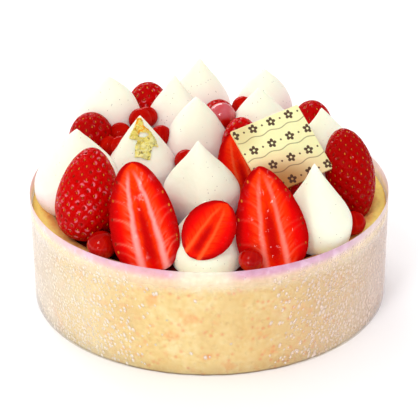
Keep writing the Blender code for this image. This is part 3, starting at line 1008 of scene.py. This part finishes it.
def vein_strength(points, look, length, girth):
    """How strongly each point (x, z in mm) lies on a vein."""
    strength = np.zeros(len(points))
    chance = np.random.RandomState(5)
    for (x0, z0), (x2, z2) in vein_ends(look, length, girth):
        x1, z1 = x0 + 0.3 * (x2 - x0), z0 + 0.85 * (z2 - z0)
        force = chance.uniform(0.15, 1.0)
        for t in np.linspace(0.0, 1.0, VEIN_POINTS):
            x = (1 - t) ** 2 * x0 + 2 * t * (1 - t) * x1 + t * t * x2
            z = (1 - t) ** 2 * z0 + 2 * t * (1 - t) * z1 + t * t * z2
            gap = np.hypot(points[:, 0] - x, points[:, 1] - z)
            fade = force * (1 - 0.8 * t)
            strength = np.maximum(strength, fade * np.exp(-((gap / VEIN_WIDTH) ** 2)))
    return strength


for number, ((foot, tip, girth), look) in enumerate(zip(HALVES, LOOKS), 1):
    count = len(list(vein_ends(look, (Vector(tip) - Vector(foot)).length, girth)))
    print("veins in cut berry", number, ":", count)

# %% [markdown]
# The paint of a cut face reads its own map: across the berry, and along it from
# stalk to tip. Rim, bands and core are then plain distances on that map, shaken
# by a little noise so that no edge is ruled.

# %% Cut flesh
RIM_RED, FLESH_RED = picked(166, 0, 0), picked(226, 1, 0)
FLESH_ORANGE = picked(255, 66, 0)
CORE_RED = picked(188, 0, 0)
VEIN_PINK = picked(255, 164, 130)


def paint_flesh(name, look, widest, slender):
    paint = Paint(
        name, 0.3, Specular_IOR_Level=0.03, Coat_Roughness=0.06, Coat_IOR=1.4)
    across, along, unused = paint.axes(paint.chart("berry"))
    wobble = paint.noise(200.0, 3.0) - 0.5
    across = across * 2 - 1 + wobble * 0.09
    power = math.log(0.5) / math.log(widest)
    edge = (along**power * math.pi).math("SINE").math("MAXIMUM", 0.0001) ** slender
    rim = (edge - abs(across)).between(0.0, 0.34)
    core = abs(across - (along * look.lean[1] + look.lean[0]))
    reach = (along / BAND_TOP).math("MINIMUM", 1.0) ** 2
    half = (1 - reach).math("MAXIMUM", 0.0001) ** 0.6 * look.spread
    fibre = paint.node("ShaderNodeCombineXYZ", {}, [along * 30 - core * 9, core * 3, 0.0])
    fibre = paint.node("ShaderNodeTexNoise", {}, {"Vector": fibre, "Scale": 1.0, "Detail": 3.0})
    past = core - half
    width = (1 - along) ** 2 * look.band + 0.05
    pale_band = 1 - abs(past / width).between(0.1, 1.7)
    feather = (1 - (past / width).between(0.6, 4.5)) * past.between(0.0, 0.02)
    pale_band = pale_band + feather * fibre.between(0.40, 0.75) * 0.3
    pale_band = pale_band * (1 - along * look.fade) * (1 - along.between(0.80, 0.95))
    warm = (1 - abs(past - 0.02).between(0.04, 0.40)) * (fibre.between(0.28, 0.6) * 0.6 + 0.4)
    inside = 1 - past.between(-0.18 - look.heart, -look.heart)
    heart = inside * along.between(0.05, 0.2) * (1 - along.between(0.45, 0.72))
    flesh = paint.blend(rim, RIM_RED, FLESH_RED)
    flesh = paint.blend(warm * rim.between(0.3, 1.0) * look.warmth, flesh, FLESH_ORANGE)
    flesh = paint.blend(heart * 0.9, flesh, CORE_RED)
    flesh = paint.blend(paint.attribute("vein") * look.veins * 0.75, flesh, VEIN_PINK)
    flesh = paint.blend(pale_band.math("MINIMUM", 1.0), flesh, look.pale)
    paint.feed("Base Color", flesh)
    moist = paint.noise(330.0, 2.0).between(0.60, 0.64)
    paint.feed("Coat Weight", moist * 0.6)
    paint.feed("Roughness", 0.4 - moist * 0.2)
    paint.relief(fibre * 0.4 + pale_band * 0.3 + wobble * 0.8, 0.0006)
    return paint


print("cut flesh runs from", RIM_RED[:3], "to", FLESH_RED[:3])

# %% [markdown]
# A half starts as a whole berry whose front half is pressed flat, so that the
# cut face keeps a fine mesh and its edge stays joined to the skin. A boolean cut
# would leave one large face that can carry no veins. The veins and bands stand a
# little above the core, and the longest veins end in seeds.

# %% Half strawberries
FLESH_RELIEF = 0.12
CUT_NUMBER = 20
CUT_SEED_SUNK = 0.05
CUT_SEED_SIZE = 1.35


def press_flat(berry, look, length, girth):
    """Press the front half of a berry flat, lay its map and its veins, and raise
    the middle of the cut face a little, the veins more."""
    select_only(berry)
    bpy.ops.object.mode_set(mode="EDIT")
    bpy.ops.mesh.select_mode(type="VERT")
    bpy.ops.mesh.select_all(action="DESELECT")
    bpy.ops.object.mode_set(mode="OBJECT")
    in_front = [vert.co.y < 0 for vert in berry.data.vertices]
    for vert, front in zip(berry.data.vertices, in_front):
        vert.select = front
    bpy.ops.object.mode_set(mode="EDIT")
    bpy.ops.transform.resize(value=(1.0, 0.0, 1.0), center_override=(0.0, 0.0, 0.0))
    bpy.ops.object.mode_set(mode="OBJECT")
    points = np.array([(vert.co.x, vert.co.z) for vert in berry.data.vertices]) / MM
    veins = vein_strength(points, look, length, girth) * in_front
    mark = berry.data.attributes.new("vein", "FLOAT", "POINT")
    mark.data.foreach_set("value", veins)
    inner = [berry_radius(min(max(z / length, 0.0), 1.0), *girth) - abs(x) for x, z in points]
    for vert, front, vein, depth in zip(berry.data.vertices, in_front, veins, inner):
        if front and depth > 0.5:
            vert.co.y -= (0.5 + vein) * FLESH_RELIEF * MM
    chart = berry.data.uv_layers.new(name="berry")
    for face in berry.data.polygons:
        face.material_index = int(all(in_front[index] for index in face.vertices))
        for corner in face.loop_indices:
            x, z = points[berry.data.loops[corner].vertex_index]
            chart.data[corner].uv = (0.5 + 0.5 * x / girth[0], z / length)


for number, ((foot, tip, girth), look) in enumerate(zip(HALVES, LOOKS), 1):
    berry, spots, matrix = make_berry(
        f"cut_strawberry_{number:02d}", foot, tip, girth, True, CUT_NUMBER + number)
    length = (Vector(tip) - Vector(foot)).length
    press_flat(berry, look, length, girth)
    set_down(berry, matrix)
    lay_seeds([pair for pair in spots if pair[0].y > 0.1], matrix)
    if look.veins > 0.2:
        ends = [(Vector((x, 0.0, z)), Vector((0, -1, 0)))
                for start, (x, z) in vein_ends(look, length, girth)]
        lay_seeds(ends, matrix, CUT_SEED_SUNK, CUT_SEED_SIZE)
    flesh_paint = paint_flesh(f"cut_flesh_{number:02d}", look, *girth[1:])
    paints = [skin_paint, flesh_paint]
    finish(berry, paints, [f"half_strawberry_{number:02d}"])
    berry.data.set_sharp_from_angle(angle=math.radians(50))

# %% [markdown]
# All the seeds were only noted down so far. Thousands of objects would be slow,
# so their points and faces are joined into one mesh with one paint. The drops
# of water on the film are made in the same way further on.

# %% All seeds in one mesh
def join_copies(name, copies, faces):
    """One object from many copies of a small mesh, given as arrays of points."""
    count = len(copies[0])
    joined = [faces + count * index for index in range(len(copies))]
    mesh = bpy.data.meshes.new(name)
    mesh.from_pydata(np.concatenate(copies).tolist(), [], np.concatenate(joined).tolist())
    piece = bpy.data.objects.new(name, mesh)
    bpy.context.scene.collection.objects.link(piece)
    print(name, ":", len(copies))
    return piece


finish(join_copies("berry_seeds", seed_points, almond_faces), [paint_seed()])

# %% [markdown]
# ## Redcurrants
# Clear, glossy little globes with faint lines from pole to pole. The lines
# follow the sphere's own map. Most have a satin skin, three shine, and one has a
# painted pale highlight on its upper side, above a height that is given. The
# list gives the middle and the radius of each.

# %% Redcurrant paints
CURRANT_RED = (picked(160, 0, 0), picked(192, 12, 0))
CURRANT_LINE = picked(240, 60, 20)
TOP_HIGHLIGHT = picked(224, 130, 142)
LINES_ROUND = 11
CURRANTS = [
    (-45.0, -56.0, 49.9, 6.2), (16.8, -69.0, 49.6, 5.1), (61.4, -38.5, 50.1, 5.3),
    (-31.2, 31.0, 67.8, 5.5), (-28.4, 34.2, 67.7, 5.0), (-40.4, 24.8, 63.6, 5.3),
    (-44.8, 16.0, 61.8, 4.6), (-39.5, 8.5, 65.3, 4.6), (-21.6, 21.0, 64.5, 4.8),
    (-10.2, 1.0, 61.2, 5.2), (-11.5, 3.0, 52.5, 5.2), (6.2, 30.0, 69.3, 6.6),
    (16.0, 42.0, 68.8, 5.2), (42.0, 56.0, 50.0, 5.4), (11.5, 64.0, 49.6, 5.0),
]
GLOSSY = (1, 2, 14)
HIGHLIGHTED = 12


def paint_currant(name, gloss, coat_ior=1.33, highlight_over=None):
    """Shiny translucent skin. A height in metres gives a painted pale highlight above it."""
    paint = Paint(
        name, 0.4, Specular_IOR_Level=0.0, Coat_Weight=gloss, Coat_Roughness=0.05,
        Coat_IOR=coat_ior, Subsurface_Weight=0.15, Subsurface_Scale=0.002)
    around, upward, unused = paint.axes(paint.chart("UVMap"))
    lines = (around * (math.tau * LINES_ROUND)).math("COSINE").between(0.75, 1.0)
    drift = paint.noise(120.0, 2.0)
    skin = paint.ramp(drift, (0.3, CURRANT_RED[0]), (0.7, CURRANT_RED[1]))
    skin = paint.blend(lines * 0.12, skin, CURRANT_LINE)
    if highlight_over is not None:
        height = paint.axes(paint.place())[2]
        # Painted highlight: the skin turns pale pink above the given height.
        top_highlight = (height - highlight_over).between(0.0006, 0.0040) * (1.0 - drift)
        skin = paint.blend(top_highlight, skin, TOP_HIGHLIGHT)
    paint.feed("Base Color", skin)
    paint.relief(paint.noise(220.0, 1.0), 0.0003)
    return paint


highlighted_middle = CURRANTS[HIGHLIGHTED - 1][2] * MM
satin_currant = paint_currant("redcurrant_satin", 0.3)
glossy_currant = paint_currant("redcurrant_glossy", 1.0)
highlighted_currant = paint_currant("redcurrant_top_highlight", 1.0, 1.6, highlighted_middle)
print(satin_currant, glossy_currant, highlighted_currant, sep="\n")

# %% [markdown]
# The berries themselves are spheres, a little shorter than wide. They are turned
# by different angles, so that their lines don't run alike.

# %% Redcurrants
CURRANT_SQUASH = 0.96
CURRANT_TILT = 0.5

for number, (x, y, z, radius) in enumerate(CURRANTS, 1):
    bpy.ops.object.select_all(action="DESELECT")
    bpy.ops.mesh.primitive_uv_sphere_add(segments=48, ring_count=28, radius=radius * MM)
    currant = bpy.context.active_object
    currant.name = f"currant_{number:02d}"
    bpy.ops.object.mode_set(mode="EDIT")
    bpy.ops.transform.resize(value=(1.0, 1.0, CURRANT_SQUASH))
    bpy.ops.object.mode_set(mode="OBJECT")
    turn = Matrix.Rotation(CURRANT_TILT + number, 4, "Z")
    tilt = Matrix.Rotation(CURRANT_TILT, 4, "X")
    set_down(currant, Matrix.Translation(Vector((x, y, z)) * MM) @ turn @ tilt)
    skin = glossy_currant if number in GLOSSY else satin_currant
    skin = highlighted_currant if number == HIGHLIGHTED else skin
    finish(currant, [skin], [f"redcurrant_{number:02d}"])

# %% [markdown]
# ## The white chocolate square
# The square's face carries a printed cocoa pattern: rows of round blossoms of
# five petals, with a wavy stem under every row and dots between. A blossom is a
# circle whose radius follows a cosine round its middle, so the print needs no
# picture. The ivory ground is painted browner towards its lowest corner, as shade
# and the red light of the fruit beside it, and tan towards the far corner.

# %% Chocolate paint
IVORY = picked(248, 248, 184)
CORNER_SHADE = (picked(244, 222, 166), picked(172, 108, 40))
TAN = picked(206, 178, 110)
COCOA = picked(70, 28, 12)
ROWS = 3.6
ROW_SHIFT = 0.2
PETALS = 5
LINE_EDGE = 0.015


def paint_chocolate():
    paint = Paint(
        "printed_white_chocolate", 0.3, Subsurface_Weight=0.1, Subsurface_Scale=0.002,
        Coat_Weight=0.15)
    right, up, unused = paint.axes(paint.chart("square"))
    # Painted shade: the ground darkens to brown towards the lowest corner, shaded and lit red
    # by the fruit.
    corner = 1 - ((right * 0.55) ** 2 + up**2).between(0.0, 0.42)
    ivory = paint.ramp(corner, (0.0, IVORY), (0.45, CORNER_SHADE[0]), (1.0, CORNER_SHADE[1]))
    far_corner = 1 - (right**2 + (1 - up) ** 2).between(0.0, 0.20)
    ivory = paint.blend(far_corner * 0.55, ivory, TAN)
    rows = up * ROWS + ROW_SHIFT
    columns = right * ROWS + rows.math("FLOOR") * 0.5
    x = columns.math("FRACT") - 0.5
    y = rows.math("FRACT") - 0.5
    away = (x * x + y * y) ** 0.5
    angle = y.math("ARCTAN2", x)
    petals = abs((angle * (PETALS / 2)).math("COSINE")) * 0.11 + 0.13
    blossom = (1 - (away - petals).between(-LINE_EDGE, LINE_EDGE)) * away.between(0.05, 0.07)
    dots_x = (columns + 0.5).math("FRACT") - 0.5
    dot = 1 - ((dots_x * dots_x + y * y) ** 0.5).between(0.04, 0.06)
    stem = abs(y + 0.42 - (columns * math.tau).math("SINE") * 0.05)
    stem = (1 - stem.between(0.018, 0.035)) * 0.6
    printed = (blossom + dot + stem).math("MINIMUM", 1.0) * paint.attribute("face")
    paint.feed("Base Color", paint.blend(printed * 0.95, ivory, COCOA))
    paint.relief(paint.noise(400.0, 2.0), 0.0002)
    return paint


chocolate_paint = paint_chocolate()
print(chocolate_paint)

# %% [markdown]
# The square is thin, with softly rounded edges, and lies back on the fruit. It is
# a cube brought to size, bevelled, and turned by three of its corners. Its front
# face is marked and mapped, so that the print stays off the edges and the back.

# %% White chocolate square
SQUARE_SIDE = 33.0
SQUARE_THICKNESS = 1.6
SQUARE_TOP = Vector((39.0, 3.5, 87.0))
SQUARE_LEFT = Vector((10.4, -12.8, 82.0))
SQUARE_RIGHT = Vector((53.2, -17.1, 65.7))
SQUARE_WIDER = 1.4
SQUARE_EDGE = 0.35


def make_square():
    bpy.ops.object.select_all(action="DESELECT")
    bpy.ops.mesh.primitive_cube_add(size=1.0)
    square = bpy.context.active_object
    square.name = "chocolate_plate"
    bpy.ops.object.mode_set(mode="EDIT")
    width = SQUARE_SIDE + SQUARE_WIDER
    bpy.ops.transform.resize(value=(width * MM, SQUARE_SIDE * MM, SQUARE_THICKNESS * MM))
    bpy.ops.mesh.bevel(offset=SQUARE_EDGE * MM, segments=3)
    bpy.ops.object.mode_set(mode="OBJECT")
    chart = square.data.uv_layers.new(name="square")
    face = square.data.attributes.new("face", "FLOAT", "POINT")
    for vert in square.data.vertices:
        face.data[vert.index].value = float(vert.co.z > 0.4 * SQUARE_THICKNESS * MM)
    for loop in square.data.loops:
        spot = square.data.vertices[loop.vertex_index].co / (SQUARE_SIDE * MM)
        chart.data[loop.index].uv = (spot.x + 0.5, spot.y + 0.5)
    across = (SQUARE_TOP - SQUARE_LEFT).normalized()
    down = SQUARE_RIGHT - SQUARE_TOP
    down = (down - across * down.dot(across)).normalized()
    out = across.cross(-down)
    middle = SQUARE_TOP + down * SQUARE_SIDE / 2 - across * width / 2
    middle -= out * SQUARE_THICKNESS / 2
    turn = Matrix((across, -down, out)).transposed()
    set_down(square, Matrix.Translation(middle * MM) @ turn.to_4x4())
    return square


square = make_square()
finish(square, [chocolate_paint], ["chocolate_square"])
square.data.set_sharp_from_angle(angle=math.radians(40))

# %% [markdown]
# ## Gold leaf
# A torn scrap of leaf clings to the fifth drop. Its torn edge and the hole in it
# are given as closed outlines in mm, as they look from the camera, round a
# middle in front of the drop. Two small questions can be asked of an outline:
# whether a point lies inside, and which of its own points is nearest.

# %% Torn outline
LEAF_OUTLINE = [
    (-3.1, 10.1), (-0.9, 10.2), (0.1, 8.7), (0.3, 6.7), (1.9, 5.5), (3.9, 3.5), (5.7, 0.7),
    (6.9, -3.6), (4.9, -3.0), (3.9, -4.0), (3.7, -6.4), (3.3, -9.4), (0.7, -8.8), (-2.1, -7.8),
    (-4.2, -7.8), (-3.8, -4.4), (-3.8, -2.0), (-2.9, -0.4), (-5.3, 0.0), (-7.0, 0.7),
    (-6.0, 3.1), (-4.7, 5.3), (-3.7, 7.5),
]
LEAF_HOLE = [(-1.8, 2.5), (-0.6, 3.2), (1.2, 3.0), (2.0, 2.4), (0.8, 1.7), (-1.4, 1.5)]
LEAF_MIDDLE = Vector((-28.7, -20.0, 82.2))


def inside_outline(spot, outline):
    """Whether a flat point lies inside a closed outline."""
    x, y = spot
    inside = False
    for (x0, y0), (x1, y1) in zip(outline, outline[1:] + outline[:1]):
        if (y0 > y) != (y1 > y) and x < x0 + (y - y0) * (x1 - x0) / (y1 - y0):
            inside = not inside
    return inside


def nearest_on_outline(spot, outline):
    """The point of a closed outline that is nearest to a flat point."""
    best, place = None, Vector(spot)
    for start, end in zip(outline, outline[1:] + outline[:1]):
        start, end = Vector(start), Vector(end)
        run = end - start
        share = min(max((place - start).dot(run) / run.length_squared, 0.0), 1.0)
        point = start + run * share
        if best is None or (point - place).length < (best - place).length:
            best = point
    return best


print("corners of the torn edge:", len(LEAF_OUTLINE), "and of the hole:", len(LEAF_HOLE))

# %% [markdown]
# The gold is bright yellow with creases, dull olive flecks and a deeper orange
# near the top. Its creases are painted paler on their ridges and darker in their
# folds, as painted light and shade. It is kept more like paint than like metal,
# because so thin a leaf shows the cream's lumps and mirrors almost nothing.

# %% Gold paint
GOLD = (picked(222, 200, 76), picked(250, 240, 124), picked(255, 252, 170))
DEEP_GOLD = picked(248, 176, 20)
OLIVE = picked(112, 100, 44)


def paint_gold():
    paint = Paint("gold_leaf", 0.45, Metallic=0.2, Specular_IOR_Level=0.3)
    creases = paint.noise(420.0, 4.0, distortion=1.2)
    upper = paint.axes(paint.place())[2].between(0.0725, 0.0765)
    spots = paint.noise(800.0, 1.0).between(0.54, 0.64) * (1 - upper * 0.5)
    patch = paint.noise(200.0, 1.0).between(0.45, 0.6)
    # Painted light and shade: paler on the ridges of the creases, darker in their folds.
    gold = paint.ramp(creases, (0.34, GOLD[0]), (0.46, GOLD[1]), (0.6, GOLD[2]))
    gold = paint.blend(upper * creases.between(0.46, 0.54), gold, DEEP_GOLD)
    ends = paint.noise(650.0, 3.0).between(0.46, 0.56)
    ends = ends * paint.noise(120.0, 1.0).between(0.42, 0.52)
    spots = (spots * patch + ends * (1 - upper) * 0.45).math("MINIMUM", 1.0)
    paint.feed("Base Color", paint.blend(spots * 0.75, gold, OLIVE))
    paint.relief(creases, 0.0006)
    return paint


gold_paint = paint_gold()
print(gold_paint)

# %% [markdown]
# The leaf starts as a fine flat grid in front of the drop. It loses the squares
# outside its torn outline, has its edge drawn to that outline, and is pressed on
# to the cream along the line of sight. What then hangs past the cream is torn
# off, and the rest is crinkled and given a thickness.

# %% Gold leaf
LEAF_SIZE = (17.0, 22.0)
LEAF_SQUARES = (56, 72)
LEAF_LIFT = 0.45
LEAF_REACH = 0.9
LEAF_THICKNESS = 0.12
GILDED_DROP = cream_drops[4]


def cut_leaf():
    """A flat grid with the torn outline and the hole."""
    bpy.ops.object.select_all(action="DESELECT")
    bpy.ops.mesh.primitive_grid_add(
        x_subdivisions=LEAF_SQUARES[0], y_subdivisions=LEAF_SQUARES[1], size=1.0)
    leaf = bpy.context.active_object
    leaf.name = "torn_leaf"
    bpy.ops.object.mode_set(mode="EDIT")
    bpy.ops.transform.resize(value=(LEAF_SIZE[0] * MM, LEAF_SIZE[1] * MM, 1.0))
    bpy.ops.mesh.select_all(action="DESELECT")
    bpy.ops.object.mode_set(mode="OBJECT")
    for face in leaf.data.polygons:
        spot = (face.center.x / MM, face.center.y / MM)
        face.select = not inside_outline(spot, LEAF_OUTLINE) or inside_outline(spot, LEAF_HOLE)
    bpy.ops.object.mode_set(mode="EDIT")
    bpy.ops.mesh.delete(type="FACE")
    bpy.ops.mesh.select_all(action="SELECT")
    bpy.ops.mesh.region_to_loop()
    bpy.ops.object.mode_set(mode="OBJECT")
    for vert in leaf.data.vertices:
        if vert.select:
            spot = (vert.co.x / MM, vert.co.y / MM)
            ends = [nearest_on_outline(spot, edge) for edge in (LEAF_OUTLINE, LEAF_HOLE)]
            torn = min(ends, key=lambda end: (end - Vector(spot)).length)
            vert.co.x, vert.co.y = torn.x * MM, torn.y * MM
    return leaf


def press_on(leaf):
    """Lay the flat leaf on the cream and tear off what hangs past it."""
    leaf.matrix_world = Matrix.Translation(LEAF_MIDDLE * MM) @ camera_turn
    use_modifier(
        leaf, "SHRINKWRAP", target=GILDED_DROP, wrap_method="PROJECT", use_project_z=True,
        use_positive_direction=False, use_negative_direction=True, offset=LEAF_LIFT * MM)
    set_down(leaf, leaf.matrix_world.copy())
    for vert in leaf.data.vertices:
        cream_spot = GILDED_DROP.closest_point_on_mesh(vert.co)[1]
        vert.select = (cream_spot - vert.co).length > LEAF_REACH * MM
    bpy.ops.object.mode_set(mode="EDIT")
    bpy.ops.mesh.delete(type="VERT")
    bpy.ops.object.mode_set(mode="OBJECT")


leaf = cut_leaf()
press_on(leaf)
push_about(leaf, "crinkle", 1.6, 0.7, 0.5)
use_modifier(leaf, "SOLIDIFY", thickness=LEAF_THICKNESS * MM, offset=1.0)
finish(leaf, [gold_paint], ["gold_leaf"])

# %% [markdown]
# ## The clear collar
# The film is clear but fogged, most of all in the free band above the sponge, so
# the paint of its outer wall is a milky tint that is mostly see-through. The band
# is painted rosy, and lilac near its edge, as the light of the fruit behind it,
# and is wiped clear in the middle of the front. Lower down it is painted with the
# sponge's glow, and a faint emission paints the light that the fog scatters.
# Glass would be truer, but takes far longer to render and can't carry the fog.

# %% Film paints
# Painted light: the tints that the fruit behind throws into the fogged band, across the front.
FREE_BAND = [
    (0.12, picked(242, 208, 200)), (0.36, picked(240, 186, 192)),
    (0.66, picked(224, 170, 196)), (0.84, picked(222, 190, 200)),
    (0.93, picked(238, 220, 212)),
]
MIST = picked(250, 234, 240)
LILAC = picked(224, 178, 206)
SPONGE_GLOW = picked(246, 230, 188)
WIPED = picked(250, 246, 226)
FOG_IN_FRONT, FOG_AT_THE_SIDES = picked(244, 234, 208), picked(240, 234, 232)
CAKE_WIDTH = 0.16


def paint_film():
    """The outer wall of the film, with its fog."""
    # The emission is painted light, the glow that the fog scatters.
    paint = Paint("fogged_film", 0.3, Specular_IOR_Level=0.1, Emission_Strength=0.08)
    east, north, height = paint.axes(paint.place())
    in_front = 1 - north.between(-0.062, -0.030)
    side = abs(east).between(0.020, 0.080)
    mist = paint.noise(260.0, 4.0)
    cloud = paint.noise(60.0, 2.0)
    ragged = paint.noise(420.0, 2.0) * 0.003 + height
    free = ragged.between(0.0395, 0.0500)
    wiped = (1 - abs(east + 0.002).between(0.006, 0.016)) * in_front
    # Painted light: rosy and lilac tints of the fruit behind the band, and the sponge's glow
    # lower down.
    rosy = paint.ramp(east / CAKE_WIDTH + 0.5, *FREE_BAND)
    rosy = paint.blend(mist.between(0.5, 0.75) * 0.6, rosy, MIST)
    lilac = height.between(0.0450, 0.0498) * (1 - abs(east).between(0.050, 0.075))
    lilac = lilac * (paint.noise(520.0, 2.0).between(0.40, 0.60) * 0.6 + 0.4)
    rosy = paint.blend(lilac * 0.7, rosy, LILAC)
    lower = 1 - height.between(0.0440, 0.0480)
    rosy = paint.blend(lower * 0.8, rosy, SPONGE_GLOW)
    edges = abs(east).between(0.055, 0.078)
    below = paint.blend(edges, FOG_IN_FRONT, FOG_AT_THE_SIDES)
    tint = paint.blend(free.between(0.1, 0.7), below, rosy)
    tint = paint.blend(wiped, tint, WIPED)
    paint.feed("Base Color", tint)
    paint.feed("Emission Color", tint)
    fog = free * (0.46 + mist * 0.5) * (1 - wiped * 0.25)
    paint.feed("Alpha", fog + side * (cloud * 0.3 + 0.16) + mist * 0.05 + 0.02)
    paint.relief(paint.noise(240.0, 2.0), 0.0002)
    return paint


def paint_inner_wall():
    """The inner wall and the edges, almost clear."""
    paint = Paint("clear_film", 0.2, Specular_IOR_Level=0.15)
    paint.feed("Base Color", paint.blend(
        paint.noise(90.0, 2.0), picked(250, 246, 246), picked(255, 252, 250)))
    paint.feed("Alpha", paint.noise(120.0, 2.0) * 0.04 + 0.02)
    return paint


film_paints = [paint_film(), paint_inner_wall()]
print(*film_paints, sep="\n")

# %% [markdown]
# A strip of film stands round the case, a little taller than it, and laps over
# itself at the back. It starts as a long flat grid whose points are wound round
# the cake, as the real strip is. A tube would be simpler, but has no lap.

# %% Clear collar
FILM_RADIUS = 79.95
FILM_HEIGHT = 50.0
FILM_THICKNESS = 0.18
FILM_COLUMNS, FILM_ROWS = 310, 6
LAP_START = math.radians(130)
LAP_LENGTH = math.radians(12)
LAP_RAMP = math.radians(8)
LAP_LIFT = 0.55


def make_film():
    bpy.ops.object.select_all(action="DESELECT")
    bpy.ops.mesh.primitive_grid_add(
        x_subdivisions=FILM_COLUMNS, y_subdivisions=FILM_ROWS, size=1.0)
    film = bpy.context.active_object
    film.name = "film_collar"
    for vert in film.data.vertices:
        turned = (vert.co.x + 0.5) * (math.tau + LAP_LENGTH)
        ramp = min(max((turned - (math.tau - LAP_RAMP)) / LAP_RAMP, 0.0), 1.0)
        radius = FILM_RADIUS + LAP_LIFT * ramp * ramp * (3 - 2 * ramp)
        angle = LAP_START + turned
        height = (vert.co.y + 0.5) * FILM_HEIGHT
        vert.co = Vector((radius * math.cos(angle), radius * math.sin(angle), height)) * MM
    use_modifier(
        film, "SOLIDIFY", thickness=FILM_THICKNESS * MM, offset=-1.0, material_offset=1,
        material_offset_rim=1)
    bpy.ops.object.mode_set(mode="EDIT")
    bpy.ops.mesh.select_all(action="SELECT")
    bpy.ops.mesh.normals_make_consistent(inside=False)
    bpy.ops.object.mode_set(mode="OBJECT")
    return film


finish(make_film(), film_paints, ["clear_collar"])

# %% [markdown]
# Water settles on the film in small drops. They are denser on both sides than
# in front, larger at the right, and lie at a slant. Their places are worked out
# first: rows round the film, pushed about, that thin out towards the front.

# %% Droplet places
DROPLET_GAP = 1.9
DROPLET_RADIUS = 79.93
DROPLET_LOWEST = 2.1
DROPLET_BAND = 47.0
DROPLET_SHIFT = 0.32
CLEAR_FRONT = 0.25


def droplet_places(chance):
    """Angle and height for every droplet, in rows that are pushed about."""
    columns = int(math.tau * DROPLET_RADIUS / DROPLET_GAP)
    for row in range(int(DROPLET_BAND / DROPLET_GAP)):
        for column in range(columns):
            shift = chance.uniform(-DROPLET_SHIFT, DROPLET_SHIFT, 2)
            angle = (column + 0.5 * (row % 2) + shift[0]) / columns * math.tau
            from_front = abs(math.remainder(angle + math.pi / 2, math.tau))
            if chance.uniform() < min(max(from_front - CLEAR_FRONT, 0.01) * 2.0, 0.95):
                yield angle, DROPLET_LOWEST + (row + shift[1]) * DROPLET_GAP


print("rows of droplets:", int(DROPLET_BAND / DROPLET_GAP))

# %% [markdown]
# One flat drop is copied to each place, with its size, slant and length from a
# fixed seed, and bent round the film. The paint is milky and half see-through,
# since so small a drop of clear water shows as a pale spot. A faint emission
# paints light into it, and it is painted darker towards the right as shade.

# %% Droplets
DROPLET_THICKNESS = 0.06
DROPLET_SLANT = 0.5


def paint_droplet():
    paint = Paint("water_drop", 0.4, Specular_IOR_Level=0.1, Emission_Strength=0.3)
    east = paint.axes(paint.place())[0]
    # Painted shade: the drops are darker towards the right; the emission is painted light.
    tint = paint.ramp(
        east.between(-0.05, 0.06), (0.0, picked(240, 232, 222)), (1.0, picked(228, 210, 198)))
    paint.feed("Base Color", tint)
    paint.feed("Emission Color", tint)
    paint.feed("Alpha", paint.noise(150.0, 1.0).between(0.2, 0.8) * 0.32 + 0.26)
    return paint


def shape_droplet(ball, angle, height, chance):
    """Points of one drop, flattened, slanted and bent round the film."""
    size = (0.34 + 0.44 * chance.uniform() ** 1.5) * (1.12 + 0.16 * math.cos(angle))
    flat = ball * (size, size * chance.uniform(1.2, 1.9), DROPLET_THICKNESS)
    slant = math.copysign(DROPLET_SLANT, math.cos(angle)) + chance.normal() * 0.12
    side = flat[:, 0] * math.cos(slant) + flat[:, 1] * math.sin(slant)
    up = flat[:, 1] * math.cos(slant) - flat[:, 0] * math.sin(slant)
    out = DROPLET_RADIUS + flat[:, 2]
    turned = angle + side / DROPLET_RADIUS
    return np.stack([out * np.cos(turned), out * np.sin(turned), height + up], 1) * MM


bpy.ops.object.select_all(action="DESELECT")
bpy.ops.mesh.primitive_ico_sphere_add(subdivisions=1, radius=1.0)
ball = bpy.context.active_object
ball_points = np.array([vert.co for vert in ball.data.vertices])
ball_faces = np.array([face.vertices[:] for face in ball.data.polygons])
bpy.data.objects.remove(ball)
chance = np.random.RandomState(11)
droplets = [
    shape_droplet(ball_points, angle, height, chance)
    for angle, height in droplet_places(chance)]
finish(join_copies("water_drops", droplets, ball_faces), [paint_droplet()])

# %% [markdown]
# ## The end
